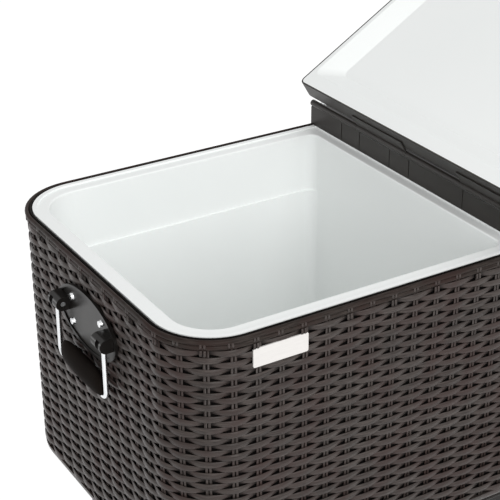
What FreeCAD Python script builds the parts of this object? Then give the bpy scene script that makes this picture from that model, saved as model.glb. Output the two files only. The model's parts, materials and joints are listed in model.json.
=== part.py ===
import FreeCAD, Part
import math
import os

# Wicker cooler cart: a woven box with two tub liners, two lids hinged on a middle
# bar, drop handles, a bottle opener, drains, a tube stand with a wire shelf and casters.
# Millimetres, +Z up, front towards -Y, origin on the floor under the middle of the box.
# The left lid stands open, the right lid is closed.

V = FreeCAD.Vector
X_AXIS = V(1, 0, 0)
Y_AXIS = V(0, 1, 0)
Z_AXIS = V(0, 0, 1)
TINY = 0.001

# Fits shared by every piece
FIT = 0.3
PIN_FIT = 0.05
HOLE_FIT = 0.25
CUT_OVER = 5.0

# Woven shell and its rim
RIM_TOP = 840.0
BOX_HEIGHT = 318.0
RIM_LENGTH = 890.0
RIM_DEPTH = 425.0
RIM_CORNER = 75.0
RIM_BAND = 12.0
RIM_PROUD = 4.0
RIM_WIDTH = 10.0
RIM_ROUND = 3.0
SHELL_WALL = 4.0
SHELL_FOOT = 70.0
SHELL_BOTTOM_ROUND = 14.0
LEDGE_WIDTH = 8.0
LEDGE_THICK = 6.0
PANEL_THICK = 2.0
BOSS_RADIUS = 6.0
BOSS_LENGTH = 10.0

# Tub liners
LINER_WALL = 3.0
FLANGE_THICK = 6.0
FLANGE_LIP = 5.0
FLANGE_STEP = 2.0
FLANGE_WIDTH = 19.0
FLANGE_ROUND = 2.0
BRIDGE_STRIP = 13.5
FLOOR_BUILD = 35.0
BAY_CORNER = 46.0
BAY_BAR_CORNER = 12.0
BAY_FLOOR_ROUND = 10.0
BAY_STEP_DROP = 77.5
BAY_STEP = 3.0

# Hinge bar across the middle, and the hinges
BAR_WIDTH = 50.0
BAR_HEIGHT = 25.0
BAR_WALL = 2.0
BAR_OVERHANG = 4.0
BAR_ROUND = 3.0
BAR_SCREW_X = 12.0
HINGE_RISE = 32.5
BARREL_RADIUS = 4.0
BARREL_INSET = 10.0
KNUCKLE_COUNT = 4
KNUCKLE_GAP = 0.5
HINGE_ROD_RADIUS = 2.2
LEAF_THICK = 2.0
LEAF_SEAT = 3.0
SEAM_WIDTH = 1.2
SEAM_DEPTH = 1.0
SEAM_BACK = 38.0
SEAMS_BEHIND = 2

# Lids
LID_THICK = 26.0
LID_INSET = 5.5
LID_SHEET = 2.0
LID_ROUND = 5.0
LID_HINGE_GAP = 5.4
LID_HINGE_CORNER = 8.0
LID_STRAP_THICK = 1.5
LID_STRAP_HEIGHT = 14.0
LID_OPEN_ANGLE = 149.0
LID_PAN_THICK = 3.0
LID_PAN_WALL = 2.0
LID_RECESS = 15.0
LID_RECESS_SIDE = 8.0
LID_RECESS_END = 20.0
LID_RECESS_CORNER = 10.0
LID_RECESS_SLOPE = 23.0

# Drop handles on the ends
PLATE_LENGTH = 138.0
PLATE_HEIGHT = 68.0
PLATE_THICK = 4.0
PLATE_BORDER = 4.0
PLATE_DISH = 1.5
PLATE_DROP = 65.0
LUG_INNER = 42.0
LUG_OUTER = 64.0
LUG_SLOT = 7.5
LUG_RADIUS = 8.0
LUG_ROOF = 2.5
BAIL_DROP = 61.0
BAIL_STANDOFF = 11.0
BAIL_SPAN = 113.0
BAIL_LENGTH = 66.0
BAIL_BEND = 8.0
BAIL_EYE_BEND = 4.0
BAIL_RADIUS = 2.75
GRIP_LENGTH = 94.0
GRIP_ABOVE = 9.0
GRIP_BELOW = 11.0
GRIP_CROWN = 12.0
GRIP_DEPTH = 18.0
GRIP_ROUND = 7.0
HANDLE_SCREW_Y = 35.0
HANDLE_SCREW_SPREAD = 30.0

# Screws and bolts
SCREW_RADIUS = 2.5
SCREW_HEAD = 4.5
SCREW_HEAD_HEIGHT = 2.8
SCREW_HEAD_BEVEL = 1.0
SCREW_LENGTH = 12.0
BOLT_RADIUS = 3.0
BOLT_HEAD = 5.8
BOLT_HEAD_HEIGHT = 4.0
NUT_RADIUS = 6.5
NUT_HEIGHT = 6.0

# Name plate, left bare
BADGE_LENGTH = 63.0
BADGE_HEIGHT = 21.0
BADGE_THICK = 1.5
BADGE_INSET = 110.5
BADGE_DROP = 27.5
BADGE_CORNER = 2.0

# Drains through the bay floors
DRAIN_INSET = 107.5
PIPE_RADIUS = 10.0
PIPE_BORE = 7.0
PIPE_BELOW = 34.0
DRAIN_FLANGE = 18.0
DRAIN_FLANGE_THICK = 3.0
DRAIN_SEAL = 2.0
DRAIN_NUT = 20.0
DRAIN_NUT_HEIGHT = 8.0
PANEL_DRAIN = 12.5
CAP_WALL = 4.0
CAP_HEIGHT = 16.0
CAP_END = 3.0
CAP_FLUTES = 10
CAP_FLUTE_RADIUS = 1.6

# Bottle opener and cap catcher on the front
OPENER_INSET = 230.0
OPENER_DROP = 80.0
OPENER_WIDTH = 56.0
OPENER_HEIGHT = 64.0
OPENER_THICK = 3.0
OPENER_CORNER = 10.0
HOOD_RADIUS = 19.0
HOOD_WALL = 3.5
HOOD_DEPTH = 20.0
HOOD_LIP = 6.0
TOOTH_WIDTH = 14.0
TOOTH_DEPTH = 11.0
TOOTH_THICK = 3.0
TOOTH_DROP = 9.0
OPENER_SCREW_SPREAD = 40.0
HANGER_DROP = 166.0
HANGER_WIDTH = 60.0
HANGER_FOOT = 16.0
HANGER_TONGUE = 14.0
HANGER_SHEET = 2.0
HANGER_STANDOFF = 4.5
HANGER_SCREW_SPREAD = 40.0
BIN_WIDTH = 96.0
BIN_DEPTH = 42.0
BIN_HEIGHT = 106.0
BIN_WALL = 2.0
BIN_CORNER = 12.0
BIN_LIP = 9.0
BIN_FRONT_CUT = 18.0

# Tube stand
TUBE = 25.0
TUBE_WALL = 1.5
LEG_END_INSET = 82.5
LEG_SIDE_INSET = 47.5
SHELF_TUBE_TOP = 175.0
TUBE_CAP_PLUG = 10.0
TUBE_CAP_HEAD = 2.0
BOX_BOLT_INSET = 20.0
STRETCHER_END = 3.0

# Wire shelf
SHELF_ROD = 4.0
SHELF_WIRE = 2.0
SHELF_BRACE = 3.0
SHELF_WIRES = 11
SHELF_BRACES = 2
SHELF_CORNER = 20.0
SHELF_EDGE = 6.0
SHELF_WELD = 0.6
CLIP_WIDTH = 12.0
CLIP_SHEET = 1.6
CLIP_FOOT = 11.0
CLIP_RIVET = 3.0

# Casters
WHEEL_RADIUS = 25.0
WHEEL_WIDTH = 18.0
TYRE_THICK = 8.0
TYRE_ROUND = 4.0
HUB_BOSS_RADIUS = 7.0
HUB_BOSS_OUT = 1.0
HUB_GROOVE = 5.0
HUB_RIM = 3.0
AXLE_RADIUS = 4.0
AXLE_HEAD = 7.0
AXLE_HEAD_HEIGHT = 3.0
FORK_SHEET = 2.5
FORK_TRAIL = 17.0
FORK_CLEAR = 8.0
FORK_CROWN = 13.0
FORK_EYE = 9.0
RACE_RADIUS = 15.0
RACE_HEIGHT = 8.0
RACE_CAP_RADIUS = 11.5
RACE_CAP_HEIGHT = 4.0
STEM_RADIUS = 4.0
STEM_LENGTH = 30.0
SOCKET_FLANGE = 3.0
SOCKET_LENGTH = 34.0
BRAKE_BACK = 20.0
BRAKE_UP = 24.0
BRAKE_EAR = 6.0
BRAKE_BARREL = 3.5
BRAKE_PIN = 2.0
BRAKE_PEDAL = 31.0
BRAKE_SHEET = 2.5
BRAKE_SHOE_BACK = 5.0
BRAKE_SHOE_LENGTH = 12.0

# Levels and faces that several pieces share
BOX_BOTTOM = RIM_TOP - BOX_HEIGHT
FLANGE_SEAT = RIM_TOP - FLANGE_THICK
LEDGE_BOTTOM = FLANGE_SEAT - LEDGE_THICK
PANEL_BOTTOM = BOX_BOTTOM + SHELL_WALL
PANEL_TOP = PANEL_BOTTOM + PANEL_THICK
BAY_DEPTH = BOX_HEIGHT - FLOOR_BUILD
BAY_FLOOR = RIM_TOP - BAY_DEPTH
END_FACE = RIM_LENGTH / 2 - RIM_PROUD
FRONT_FACE = RIM_DEPTH / 2 - RIM_PROUD
BAR_FACE = BAR_WIDTH / 2
BAR_TOP = RIM_TOP + BAR_HEIGHT
BAR_HALF = RIM_DEPTH / 2 - BAR_OVERHANG
BARREL_LENGTH = 2 * (BAR_HALF - BARREL_INSET)
BAR_SCREW_Y = RIM_DEPTH / 2 - RIM_WIDTH - LEDGE_WIDTH / 2
HINGE_X = BAR_FACE + BARREL_RADIUS
HINGE_Z = RIM_TOP + HINGE_RISE
LID_BOTTOM = RIM_TOP + FIT
LID_TOP = LID_BOTTOM + LID_THICK
LID_HINGE_FACE = BAR_FACE + LID_HINGE_GAP
BAIL_X = END_FACE + BAIL_STANDOFF
BAIL_Z = RIM_TOP - BAIL_DROP
BADGE_LEFT = RIM_LENGTH / 2 - BADGE_INSET
LEG_X = RIM_LENGTH / 2 - LEG_END_INSET
LEG_Y = RIM_DEPTH / 2 - LEG_SIDE_INSET
BOX_BOLT_Y = LEG_Y - BOX_BOLT_INSET
DRAIN_Y = RIM_DEPTH / 2 - DRAIN_INSET
DRAIN_X = (BAR_FACE + BRIDGE_STRIP + RIM_LENGTH / 2 - RIM_WIDTH - FLANGE_WIDTH) / 2
FORK_TOP = 2 * WHEEL_RADIUS + FORK_CLEAR + FORK_SHEET + RACE_HEIGHT + RACE_CAP_HEIGHT
LEG_BOTTOM = FORK_TOP + FIT + SOCKET_FLANGE
OPENER_X = RIM_LENGTH / 2 - OPENER_INSET
OPENER_Z = RIM_TOP - OPENER_DROP
HANGER_Z = RIM_TOP - HANGER_DROP


def block(x0, x1, y0, y1, z0, z1):
    """Box between two corners, given in any order along each axis."""
    low = V(min(x0, x1), min(y0, y1), min(z0, z1))
    return Part.makeBox(abs(x1 - x0), abs(y1 - y0), abs(z1 - z0), low)


def rod(radius, start, end):
    """Round bar from one point to another."""
    along = end - start
    return Part.makeCylinder(radius, along.Length, start, along)


def ring(outer, inner, start, end):
    """Round bar with a bore along its whole length."""
    over = (end - start).normalize() * CUT_OVER
    return rod(outer, start, end).cut(rod(inner, start - over, end + over))


def hexagon(radius, start, end):
    """Six sided bar; radius reaches the corners."""
    along = end - start
    turn = FreeCAD.Rotation(Z_AXIS, along)
    corners = []
    for k in range(7):
        angle = math.radians(60 * k)
        corners.append(start + turn.multVec(V(radius * math.cos(angle), radius * math.sin(angle), 0)))
    return Part.Face(Part.makePolygon(corners)).extrude(along)


def rounded_wire(plan, z):
    """Rounded rectangle; plan is x0, x1, y0, y1, corner radius at x0, corner radius at x1."""
    x0, x1, y0, y1, ra, rb = plan
    corners = [(x1 - rb, y0 + rb, rb, -90), (x1 - rb, y1 - rb, rb, 0),
               (x0 + ra, y1 - ra, ra, 90), (x0 + ra, y0 + ra, ra, 180)]
    arcs = []
    for cx, cy, radius, start in corners:
        points = []
        for step in (0, 45, 90):
            angle = math.radians(start + step)
            points.append(V(cx + radius * math.cos(angle), cy + radius * math.sin(angle), z))
        arcs.append(points)
    edges = []
    for k, points in enumerate(arcs):
        edges.append(Part.Arc(*points).toShape())
        edges.append(Part.LineSegment(points[2], arcs[(k + 1) % 4][0]).toShape())
    return Part.Wire(edges)


def slab(plan, z0, z1):
    """Upright prism on a rounded rectangle."""
    return Part.Face(rounded_wire(plan, z0)).extrude(V(0, 0, z1 - z0))


def level_edges(shape, z):
    """Edges of a shape that lie wholly at one height."""
    return [e for e in shape.Edges
            if abs(e.BoundBox.ZMin - z) < TINY and abs(e.BoundBox.ZMax - z) < TINY]


def bent_rod(points, bends, radius):
    """Round wire along straight runs, with an arc of the given radius at each inner point."""
    edges = []
    last = points[0]
    for before, corner, after, bend in zip(points, points[1:], points[2:], bends):
        a = (before - corner).normalize()
        b = (after - corner).normalize()
        half = a.getAngle(b) / 2
        reach = bend / math.tan(half)
        middle = (a + b).normalize()
        apex = corner + middle * (bend / math.sin(half) - bend)
        edges.append(Part.LineSegment(last, corner + a * reach).toShape())
        edges.append(Part.Arc(corner + a * reach, apex, corner + b * reach).toShape())
        last = corner + b * reach
    edges.append(Part.LineSegment(last, points[-1]).toShape())
    return sweep(Part.Wire(edges), points[0], points[1] - points[0], radius)


def sweep(path, start, along, radius):
    """Round wire along a path of lines and tangent arcs."""
    profile = Part.Wire(Part.Circle(start, along, radius).toShape())
    return path.makePipeShell([profile], True, True)


def mirror_x(shape):
    return shape.mirror(V(0, 0, 0), X_AXIS)


def mirror_y(shape):
    return shape.mirror(V(0, 0, 0), Y_AXIS)


def fused(shapes):
    """One solid from overlapping pieces."""
    return shapes[0].multiFuse(shapes[1:]).removeSplitter()


def rim_plan(inset):
    """Plan of the rim, drawn in by inset on every side."""
    x = RIM_LENGTH / 2 - inset
    y = RIM_DEPTH / 2 - inset
    corner = RIM_CORNER - inset
    return (-x, x, -y, y, corner, corner)


def bay(grow, top):
    """Solid that fills the bay of the left tub, grown outwards by grow."""
    x_out = -(RIM_LENGTH / 2 - RIM_WIDTH - FLANGE_WIDTH) - grow
    x_in = -(BAR_FACE + BRIDGE_STRIP) + grow
    y_top = RIM_DEPTH / 2 - RIM_WIDTH - FLANGE_WIDTH + grow
    y_low = y_top - BAY_STEP
    corner = BAY_CORNER + grow
    bar_corner = BAY_BAR_CORNER + grow
    step = RIM_TOP - BAY_STEP_DROP - grow
    floor = BAY_FLOOR - grow
    upper = slab((x_out, x_in, -y_top, y_top, corner, bar_corner), step, top)
    lower = slab((x_out, x_in, -y_low, y_low, corner, bar_corner), floor, top)
    lower = lower.makeFillet(BAY_FLOOR_ROUND + grow, level_edges(lower, floor))
    return upper.fuse(lower).removeSplitter()


def both_bays(grow, top):
    left = bay(grow, top)
    return [left, mirror_x(left)]


def handle_screw_places():
    """Middle of each handle screw on the left end wall, as y and z."""
    places = []
    for y in (-HANDLE_SCREW_Y, HANDLE_SCREW_Y):
        for z in (-HANDLE_SCREW_SPREAD / 2, HANDLE_SCREW_SPREAD / 2):
            places.append((y, RIM_TOP - PLATE_DROP + z))
    return places


def front_screw_places():
    """Middle of each opener and hanger screw on the front wall, as x, z and seat thickness."""
    places = []
    for side in (-1, 1):
        places.append((OPENER_X + side * OPENER_SCREW_SPREAD / 2, opener_screw_z(), OPENER_THICK))
    for side in (-1, 1):
        places.append((OPENER_X + side * HANGER_SCREW_SPREAD / 2, hanger_screw_z(), HANGER_SHEET))
    return places


def opener_screw_z():
    return OPENER_Z + OPENER_HEIGHT / 2 - OPENER_CORNER


def hanger_screw_z():
    return HANGER_Z + HANGER_FOOT / 2


def wall_bosses(radius, length):
    """Screw bosses behind the handles and the opener, on the inside of the shell."""
    bosses = []
    for y, z in handle_screw_places():
        left = rod(radius, V(-END_FACE, y, z), V(-END_FACE + length, y, z))
        bosses.append(left)
        bosses.append(mirror_x(left))
    for x, z, seat in front_screw_places():
        bosses.append(rod(radius, V(x, -FRONT_FACE, z), V(x, -FRONT_FACE + length, z)))
    return bosses


def box_bolt_places():
    return [(x, y) for x in (-LEG_X, LEG_X) for y in (-BOX_BOLT_Y, BOX_BOLT_Y)]


def bar_screw_places():
    return [(x, y) for x in (-BAR_SCREW_X, BAR_SCREW_X) for y in (-BAR_SCREW_Y, BAR_SCREW_Y)]


def drain_places():
    return [V(-DRAIN_X, DRAIN_Y, 0), V(DRAIN_X, DRAIN_Y, 0)]


def wicker_shell():
    """Four woven walls with a proud rim, a ledge for the liner and a turned in foot."""
    outer = slab(rim_plan(RIM_PROUD), BOX_BOTTOM, RIM_TOP)
    outer = outer.makeFillet(SHELL_BOTTOM_ROUND, level_edges(outer, BOX_BOTTOM))
    inner = slab(rim_plan(RIM_PROUD + SHELL_WALL), PANEL_BOTTOM, RIM_TOP + CUT_OVER)
    inner = inner.makeFillet(SHELL_BOTTOM_ROUND - SHELL_WALL, level_edges(inner, PANEL_BOTTOM))
    walls = outer.cut(inner)
    rim = slab(rim_plan(0), RIM_TOP - RIM_BAND, RIM_TOP)
    edges = level_edges(rim, RIM_TOP) + level_edges(rim, RIM_TOP - RIM_BAND)
    rim = rim.makeFillet(RIM_ROUND, edges)
    rim = rim.cut(slab(rim_plan(RIM_WIDTH), RIM_TOP - RIM_BAND - CUT_OVER, RIM_TOP + CUT_OVER))
    ledge = slab(rim_plan(RIM_PROUD), LEDGE_BOTTOM, FLANGE_SEAT)
    ledge_hole = slab(rim_plan(RIM_WIDTH + LEDGE_WIDTH), LEDGE_BOTTOM - CUT_OVER, RIM_TOP)
    shell = fused([walls, rim, ledge.cut(ledge_hole)] + wall_bosses(BOSS_RADIUS, BOSS_LENGTH))
    foot_hole = slab(rim_plan(RIM_PROUD + SHELL_FOOT), BOX_BOTTOM - CUT_OVER, PANEL_BOTTOM + TINY)
    tools = [foot_hole]
    for hole in wall_bosses(SCREW_RADIUS + PIN_FIT, BOSS_LENGTH + CUT_OVER):
        tools.append(hole)
    for x, y in box_bolt_places():
        tools.append(rod(BOLT_RADIUS + HOLE_FIT, V(x, y, BOX_BOTTOM - CUT_OVER), V(x, y, PANEL_TOP)))
    for x, y in bar_screw_places():
        tools.append(rod(SCREW_RADIUS + PIN_FIT, V(x, y, LEDGE_BOTTOM - CUT_OVER), V(x, y, RIM_TOP)))
    return shell.cut(tools)


def base_panel():
    """Steel sheet that closes the underside of the left bay, with clinch nuts for the stand's bolts."""
    panel = slab(rim_plan(RIM_PROUD + SHELL_BOTTOM_ROUND + FIT), PANEL_BOTTOM, PANEL_TOP)
    tools = [block(-FIT / 2, RIM_LENGTH, -RIM_DEPTH, RIM_DEPTH, BOX_BOTTOM, PANEL_TOP + 2 * NUT_HEIGHT)]
    for x, y in box_bolt_places():
        nut = rod(NUT_RADIUS, V(x, y, PANEL_BOTTOM), V(x, y, PANEL_TOP + NUT_HEIGHT))
        panel = panel.fuse(nut)
        tools.append(rod(BOLT_RADIUS + PIN_FIT, V(x, y, BOX_BOTTOM), V(x, y, PANEL_TOP + 2 * NUT_HEIGHT)))
    for place in drain_places():
        tools.append(rod(PANEL_DRAIN, place + V(0, 0, BOX_BOTTOM), place + V(0, 0, BAY_FLOOR)))
    return panel.cut(tools).removeSplitter()


def wall_foam():
    """Insulation between the shell, the liners and the base panels."""
    foam = slab(rim_plan(RIM_PROUD + SHELL_WALL + FIT), PANEL_TOP, LEDGE_BOTTOM)
    foam = foam.makeFillet(SHELL_BOTTOM_ROUND - SHELL_WALL, level_edges(foam, PANEL_TOP))
    tools = both_bays(LINER_WALL + FIT, RIM_TOP)
    tools += wall_bosses(BOSS_RADIUS + FIT, BOSS_LENGTH + CUT_OVER)
    for x, y in box_bolt_places():
        tools.append(rod(NUT_RADIUS + FIT, V(x, y, BOX_BOTTOM), V(x, y, PANEL_TOP + 2 * NUT_HEIGHT)))
    for place in drain_places():
        tools.append(rod(PIPE_RADIUS + FIT, place + V(0, 0, BOX_BOTTOM), place + V(0, 0, BAY_FLOOR)))
    return foam.cut(tools)


def tub_liner():
    """White left tub: a bay under a flange with a raised lip and half of the land for the bar."""
    flange = slab(rim_plan(RIM_WIDTH), FLANGE_SEAT, RIM_TOP)
    ledge = RIM_TOP - FLANGE_STEP
    step = slab(rim_plan(RIM_WIDTH + FLANGE_LIP), ledge, RIM_TOP + CUT_OVER)
    land = block(-BAR_FACE, BAR_FACE, -RIM_DEPTH, RIM_DEPTH, FLANGE_SEAT, RIM_TOP + CUT_OVER)
    other_half = block(-FIT / 2, RIM_LENGTH, -RIM_DEPTH, RIM_DEPTH, LEDGE_BOTTOM, RIM_TOP + CUT_OVER)
    flange = flange.cut([step.cut(land), other_half])
    liner = fused([flange, bay(LINER_WALL, FLANGE_SEAT + TINY)])
    liner = liner.cut(bay(0, RIM_TOP + CUT_OVER))
    mouth_x = RIM_LENGTH / 2 - RIM_WIDTH - FLANGE_WIDTH + TINY
    mouth_y = RIM_DEPTH / 2 - RIM_WIDTH - FLANGE_WIDTH + TINY
    mouth_edges = [e for e in level_edges(liner, ledge)
                   if max(abs(e.BoundBox.XMin), abs(e.BoundBox.XMax)) < mouth_x
                   and max(abs(e.BoundBox.YMin), abs(e.BoundBox.YMax)) < mouth_y]
    liner = liner.makeFillet(FLANGE_ROUND, mouth_edges)
    tools = []
    for place in drain_places():
        low = place + V(0, 0, BAY_FLOOR - LINER_WALL - CUT_OVER)
        tools.append(rod(PIPE_RADIUS + HOLE_FIT, low, place + V(0, 0, BAY_FLOOR + CUT_OVER)))
    for x, y in bar_screw_places():
        tools.append(rod(SCREW_RADIUS + HOLE_FIT, V(x, y, LEDGE_BOTTOM), V(x, y, RIM_TOP + CUT_OVER)))
    return liner.cut(tools)


def knuckle_spans(first):
    """Lengths of the hinge barrel, every second one, as y limits from the back."""
    pitch = BARREL_LENGTH / KNUCKLE_COUNT
    spans = []
    for k in range(first, KNUCKLE_COUNT, 2):
        high = BARREL_LENGTH / 2 - k * pitch
        spans.append((high - pitch + KNUCKLE_GAP, high))
    return spans


def leaf_seams():
    """Joints in the hinge leaf, as y: between knuckles, and some way behind the first of those."""
    pitch = BARREL_LENGTH / KNUCKLE_COUNT
    ends = [BARREL_LENGTH / 2 - k * pitch for k in range(1, KNUCKLE_COUNT)]
    return ends + [end + SEAM_BACK for end in ends[:SEAMS_BEHIND]]


def barrel(y0, y1):
    return rod(BARREL_RADIUS, V(-HINGE_X, y0, HINGE_Z), V(-HINGE_X, y1, HINGE_Z))


def hinge_bore():
    length = BARREL_LENGTH / 2 + CUT_OVER
    return rod(HINGE_ROD_RADIUS + PIN_FIT, V(-HINGE_X, -length, HINGE_Z), V(-HINGE_X, length, HINGE_Z))


def hinge_crossbar():
    """Folded steel bar with a hinge leaf and rolled knuckles on each long side."""
    bar = block(-BAR_FACE, BAR_FACE, -BAR_HALF, BAR_HALF, RIM_TOP, BAR_TOP)
    top = [e for e in level_edges(bar, BAR_TOP) if e.BoundBox.YLength > BAR_WIDTH]
    bar = bar.makeFillet(BAR_ROUND, top)
    inside = BAR_FACE - BAR_WALL
    half = BAR_HALF - BAR_WALL
    bar = bar.cut(block(-inside, inside, -half, half, RIM_TOP - CUT_OVER, BAR_TOP - BAR_WALL))
    face = -BAR_FACE - LEAF_THICK
    reach = BARREL_LENGTH / 2
    pieces = [block(-BAR_FACE, face, -reach, reach, RIM_TOP + LEAF_SEAT, BAR_TOP)]
    for y0, y1 in knuckle_spans(0):
        pieces.append(block(-BAR_FACE, face, y0, y1, RIM_TOP + LEAF_SEAT, HINGE_Z))
        pieces.append(barrel(y0, y1))
    cuts = [hinge_bore()]
    for y in leaf_seams():
        cuts.append(block(face - SEAM_DEPTH, face + SEAM_DEPTH, y - SEAM_WIDTH / 2, y + SEAM_WIDTH / 2,
                          RIM_TOP, BAR_TOP))
    leaf = fused(pieces).cut(cuts)
    bar = fused([bar, leaf, mirror_x(leaf)])
    holes = []
    for x, y in bar_screw_places():
        holes.append(rod(SCREW_RADIUS + HOLE_FIT, V(x, y, RIM_TOP), V(x, y, BAR_TOP + CUT_OVER)))
    return bar.cut(holes)


def hinge_rod():
    half = BARREL_LENGTH / 2
    return rod(HINGE_ROD_RADIUS, V(-HINGE_X, -half, HINGE_Z), V(-HINGE_X, half, HINGE_Z))


def screw(head_seat, inwards, length):
    """Pan head screw; head_seat is the point under its head, inwards the way it is driven."""
    crown = Part.makeCone(SCREW_HEAD, SCREW_HEAD - SCREW_HEAD_BEVEL, SCREW_HEAD_HEIGHT, head_seat,
                          inwards * -1)
    return fused([crown, rod(SCREW_RADIUS, head_seat, head_seat + inwards * length)])


def crossbar_screws():
    length = BAR_TOP - LEDGE_BOTTOM
    return [screw(V(x, y, BAR_TOP), V(0, 0, -1), length) for x, y in bar_screw_places()]


def lid_plan(inset):
    """Plan of the closed left lid, drawn in by inset."""
    x_out = -(RIM_LENGTH / 2 - LID_INSET) + inset
    x_in = -LID_HINGE_FACE - inset
    y = RIM_DEPTH / 2 - LID_INSET - inset
    return (x_out, x_in, -y, y, RIM_CORNER - LID_INSET - inset, LID_HINGE_CORNER - inset)


def lid_recess_wire(inset, z):
    """Outline of the hollow in the underside of the left lid, drawn in by inset."""
    x_out, x_in, y0, y1, corner, hinge_corner = lid_plan(0)
    end = LID_RECESS_END + inset
    side = LID_RECESS_SIDE + inset
    plan = (x_out + end, x_in - end, y0 + side, y1 - side, corner - side, LID_RECESS_CORNER)
    return rounded_wire(plan, z)


def lid_recess(grow):
    """Solid that fills the hollow, with its sloping sides, grown outwards by grow."""
    mouth = Part.Face(lid_recess_wire(-grow, LID_BOTTOM)).extrude(V(0, 0, -CUT_OVER))
    sides = [lid_recess_wire(-grow, LID_BOTTOM),
             lid_recess_wire(LID_RECESS_SLOPE - grow, LID_BOTTOM + LID_RECESS + grow)]
    return mouth.fuse(Part.makeLoft(sides, True, True))


def lid_top():
    """Steel lid pan with a skirt, and the hinge straps and knuckles on its inner edge."""
    pan = slab(lid_plan(0), LID_BOTTOM, LID_TOP)
    pan = pan.makeFillet(LID_ROUND, level_edges(pan, LID_TOP))
    inner = slab(lid_plan(LID_SHEET), LID_BOTTOM - CUT_OVER, LID_TOP - LID_SHEET)
    inner = inner.makeFillet(LID_ROUND - LID_SHEET, level_edges(inner, LID_TOP - LID_SHEET))
    pieces = [pan.cut(inner)]
    strap_low = LID_TOP - LID_STRAP_HEIGHT
    for y0, y1 in knuckle_spans(1):
        face = -LID_HINGE_FACE
        pieces.append(block(face, face + LID_STRAP_THICK, y0, y1, strap_low, HINGE_Z - BARREL_RADIUS / 2))
        pieces.append(barrel(y0, y1))
    return fused(pieces).cut(hinge_bore())


def lid_liner():
    """White pan that closes the underside of the lid round a shallow hollow."""
    flange = slab(lid_plan(LID_SHEET + PIN_FIT), LID_BOTTOM, LID_BOTTOM + LID_PAN_THICK)
    tray = lid_recess(LID_PAN_WALL).common(slab(lid_plan(0), LID_BOTTOM, LID_TOP))
    return fused([flange, tray]).cut(lid_recess(0))


def lid_foam():
    """Insulation inside the lid."""
    low = LID_BOTTOM + LID_PAN_THICK
    foam = slab(lid_plan(LID_SHEET + FIT), low, LID_TOP - LID_SHEET - FIT)
    foam = foam.makeFillet(LID_ROUND - LID_SHEET, level_edges(foam, LID_TOP - LID_SHEET - FIT))
    return foam.cut(lid_recess(LID_PAN_WALL + FIT))


def opened(shape):
    """Turn a piece of the closed left lid to its open rest place."""
    turned = shape.copy()
    turned.rotate(V(-HINGE_X, 0, HINGE_Z), Y_AXIS, LID_OPEN_ANGLE)
    return turned


def plate_oval(grow, x0, x1):
    """Oval prism on the left end wall for the handle plate."""
    centre = V(x0, 0, RIM_TOP - PLATE_DROP)
    oval = Part.Ellipse(centre + V(0, PLATE_LENGTH / 2 + grow, 0),
                        centre + V(0, 0, PLATE_HEIGHT / 2 + grow), centre)
    return Part.Face(Part.Wire(oval.toShape())).extrude(V(x1 - x0, 0, 0))


def handle_bracket():
    """Dished oval plate with a slotted lug at each end for the bail's eyes."""
    back = -END_FACE
    plate = plate_oval(0, back, back - PLATE_THICK)
    dish = plate_oval(-PLATE_BORDER, back - PLATE_THICK + PLATE_DISH, back - PLATE_THICK - CUT_OVER)
    plate = plate.cut(dish)
    lugs = []
    slots = []
    for side in (-1, 1):
        y0 = side * LUG_INNER
        y1 = side * LUG_OUTER
        nose = rod(LUG_RADIUS, V(-BAIL_X, y0, BAIL_Z), V(-BAIL_X, y1, BAIL_Z))
        root = block(back, -BAIL_X, y0, y1, BAIL_Z - LUG_RADIUS, BAIL_Z + LUG_RADIUS)
        lugs += [nose, root]
        middle = side * BAIL_SPAN / 2
        s0 = middle - LUG_SLOT / 2
        s1 = middle + LUG_SLOT / 2
        roof = BAIL_Z + LUG_RADIUS - LUG_ROOF
        slots.append(block(back - PLATE_THICK, -BAIL_X - LUG_RADIUS - CUT_OVER, s0, s1,
                           BAIL_Z - LUG_RADIUS - CUT_OVER, roof))
        slots.append(rod(BAIL_RADIUS + PIN_FIT, V(-BAIL_X, 0, BAIL_Z), V(-BAIL_X, middle, BAIL_Z)))
    holes = []
    for y, z in handle_screw_places():
        holes.append(rod(SCREW_RADIUS + HOLE_FIT, V(back + CUT_OVER, y, z), V(back - 2 * CUT_OVER, y, z)))
    return plate.multiFuse(lugs).cut(slots + holes)


def handle_screws():
    """Four screws through each handle plate into the shell's bosses."""
    screws = []
    seat = END_FACE + PLATE_THICK - PLATE_DISH
    for y, z in handle_screw_places():
        left = screw(V(-seat, y, z), X_AXIS, SCREW_LENGTH)
        screws += [left, mirror_x(left)]
    return screws


def bail():
    """Bright wire bail: eyes in the lugs, two legs and a bar through the grip."""
    half = BAIL_SPAN / 2
    low = BAIL_Z - BAIL_LENGTH
    points = [V(-BAIL_X, LUG_INNER, BAIL_Z), V(-BAIL_X, half, BAIL_Z), V(-BAIL_X, half, low),
              V(-BAIL_X, -half, low), V(-BAIL_X, -half, BAIL_Z), V(-BAIL_X, -LUG_INNER, BAIL_Z)]
    return bent_rod(points, [BAIL_EYE_BEND, BAIL_BEND, BAIL_BEND, BAIL_EYE_BEND], BAIL_RADIUS)


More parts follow.
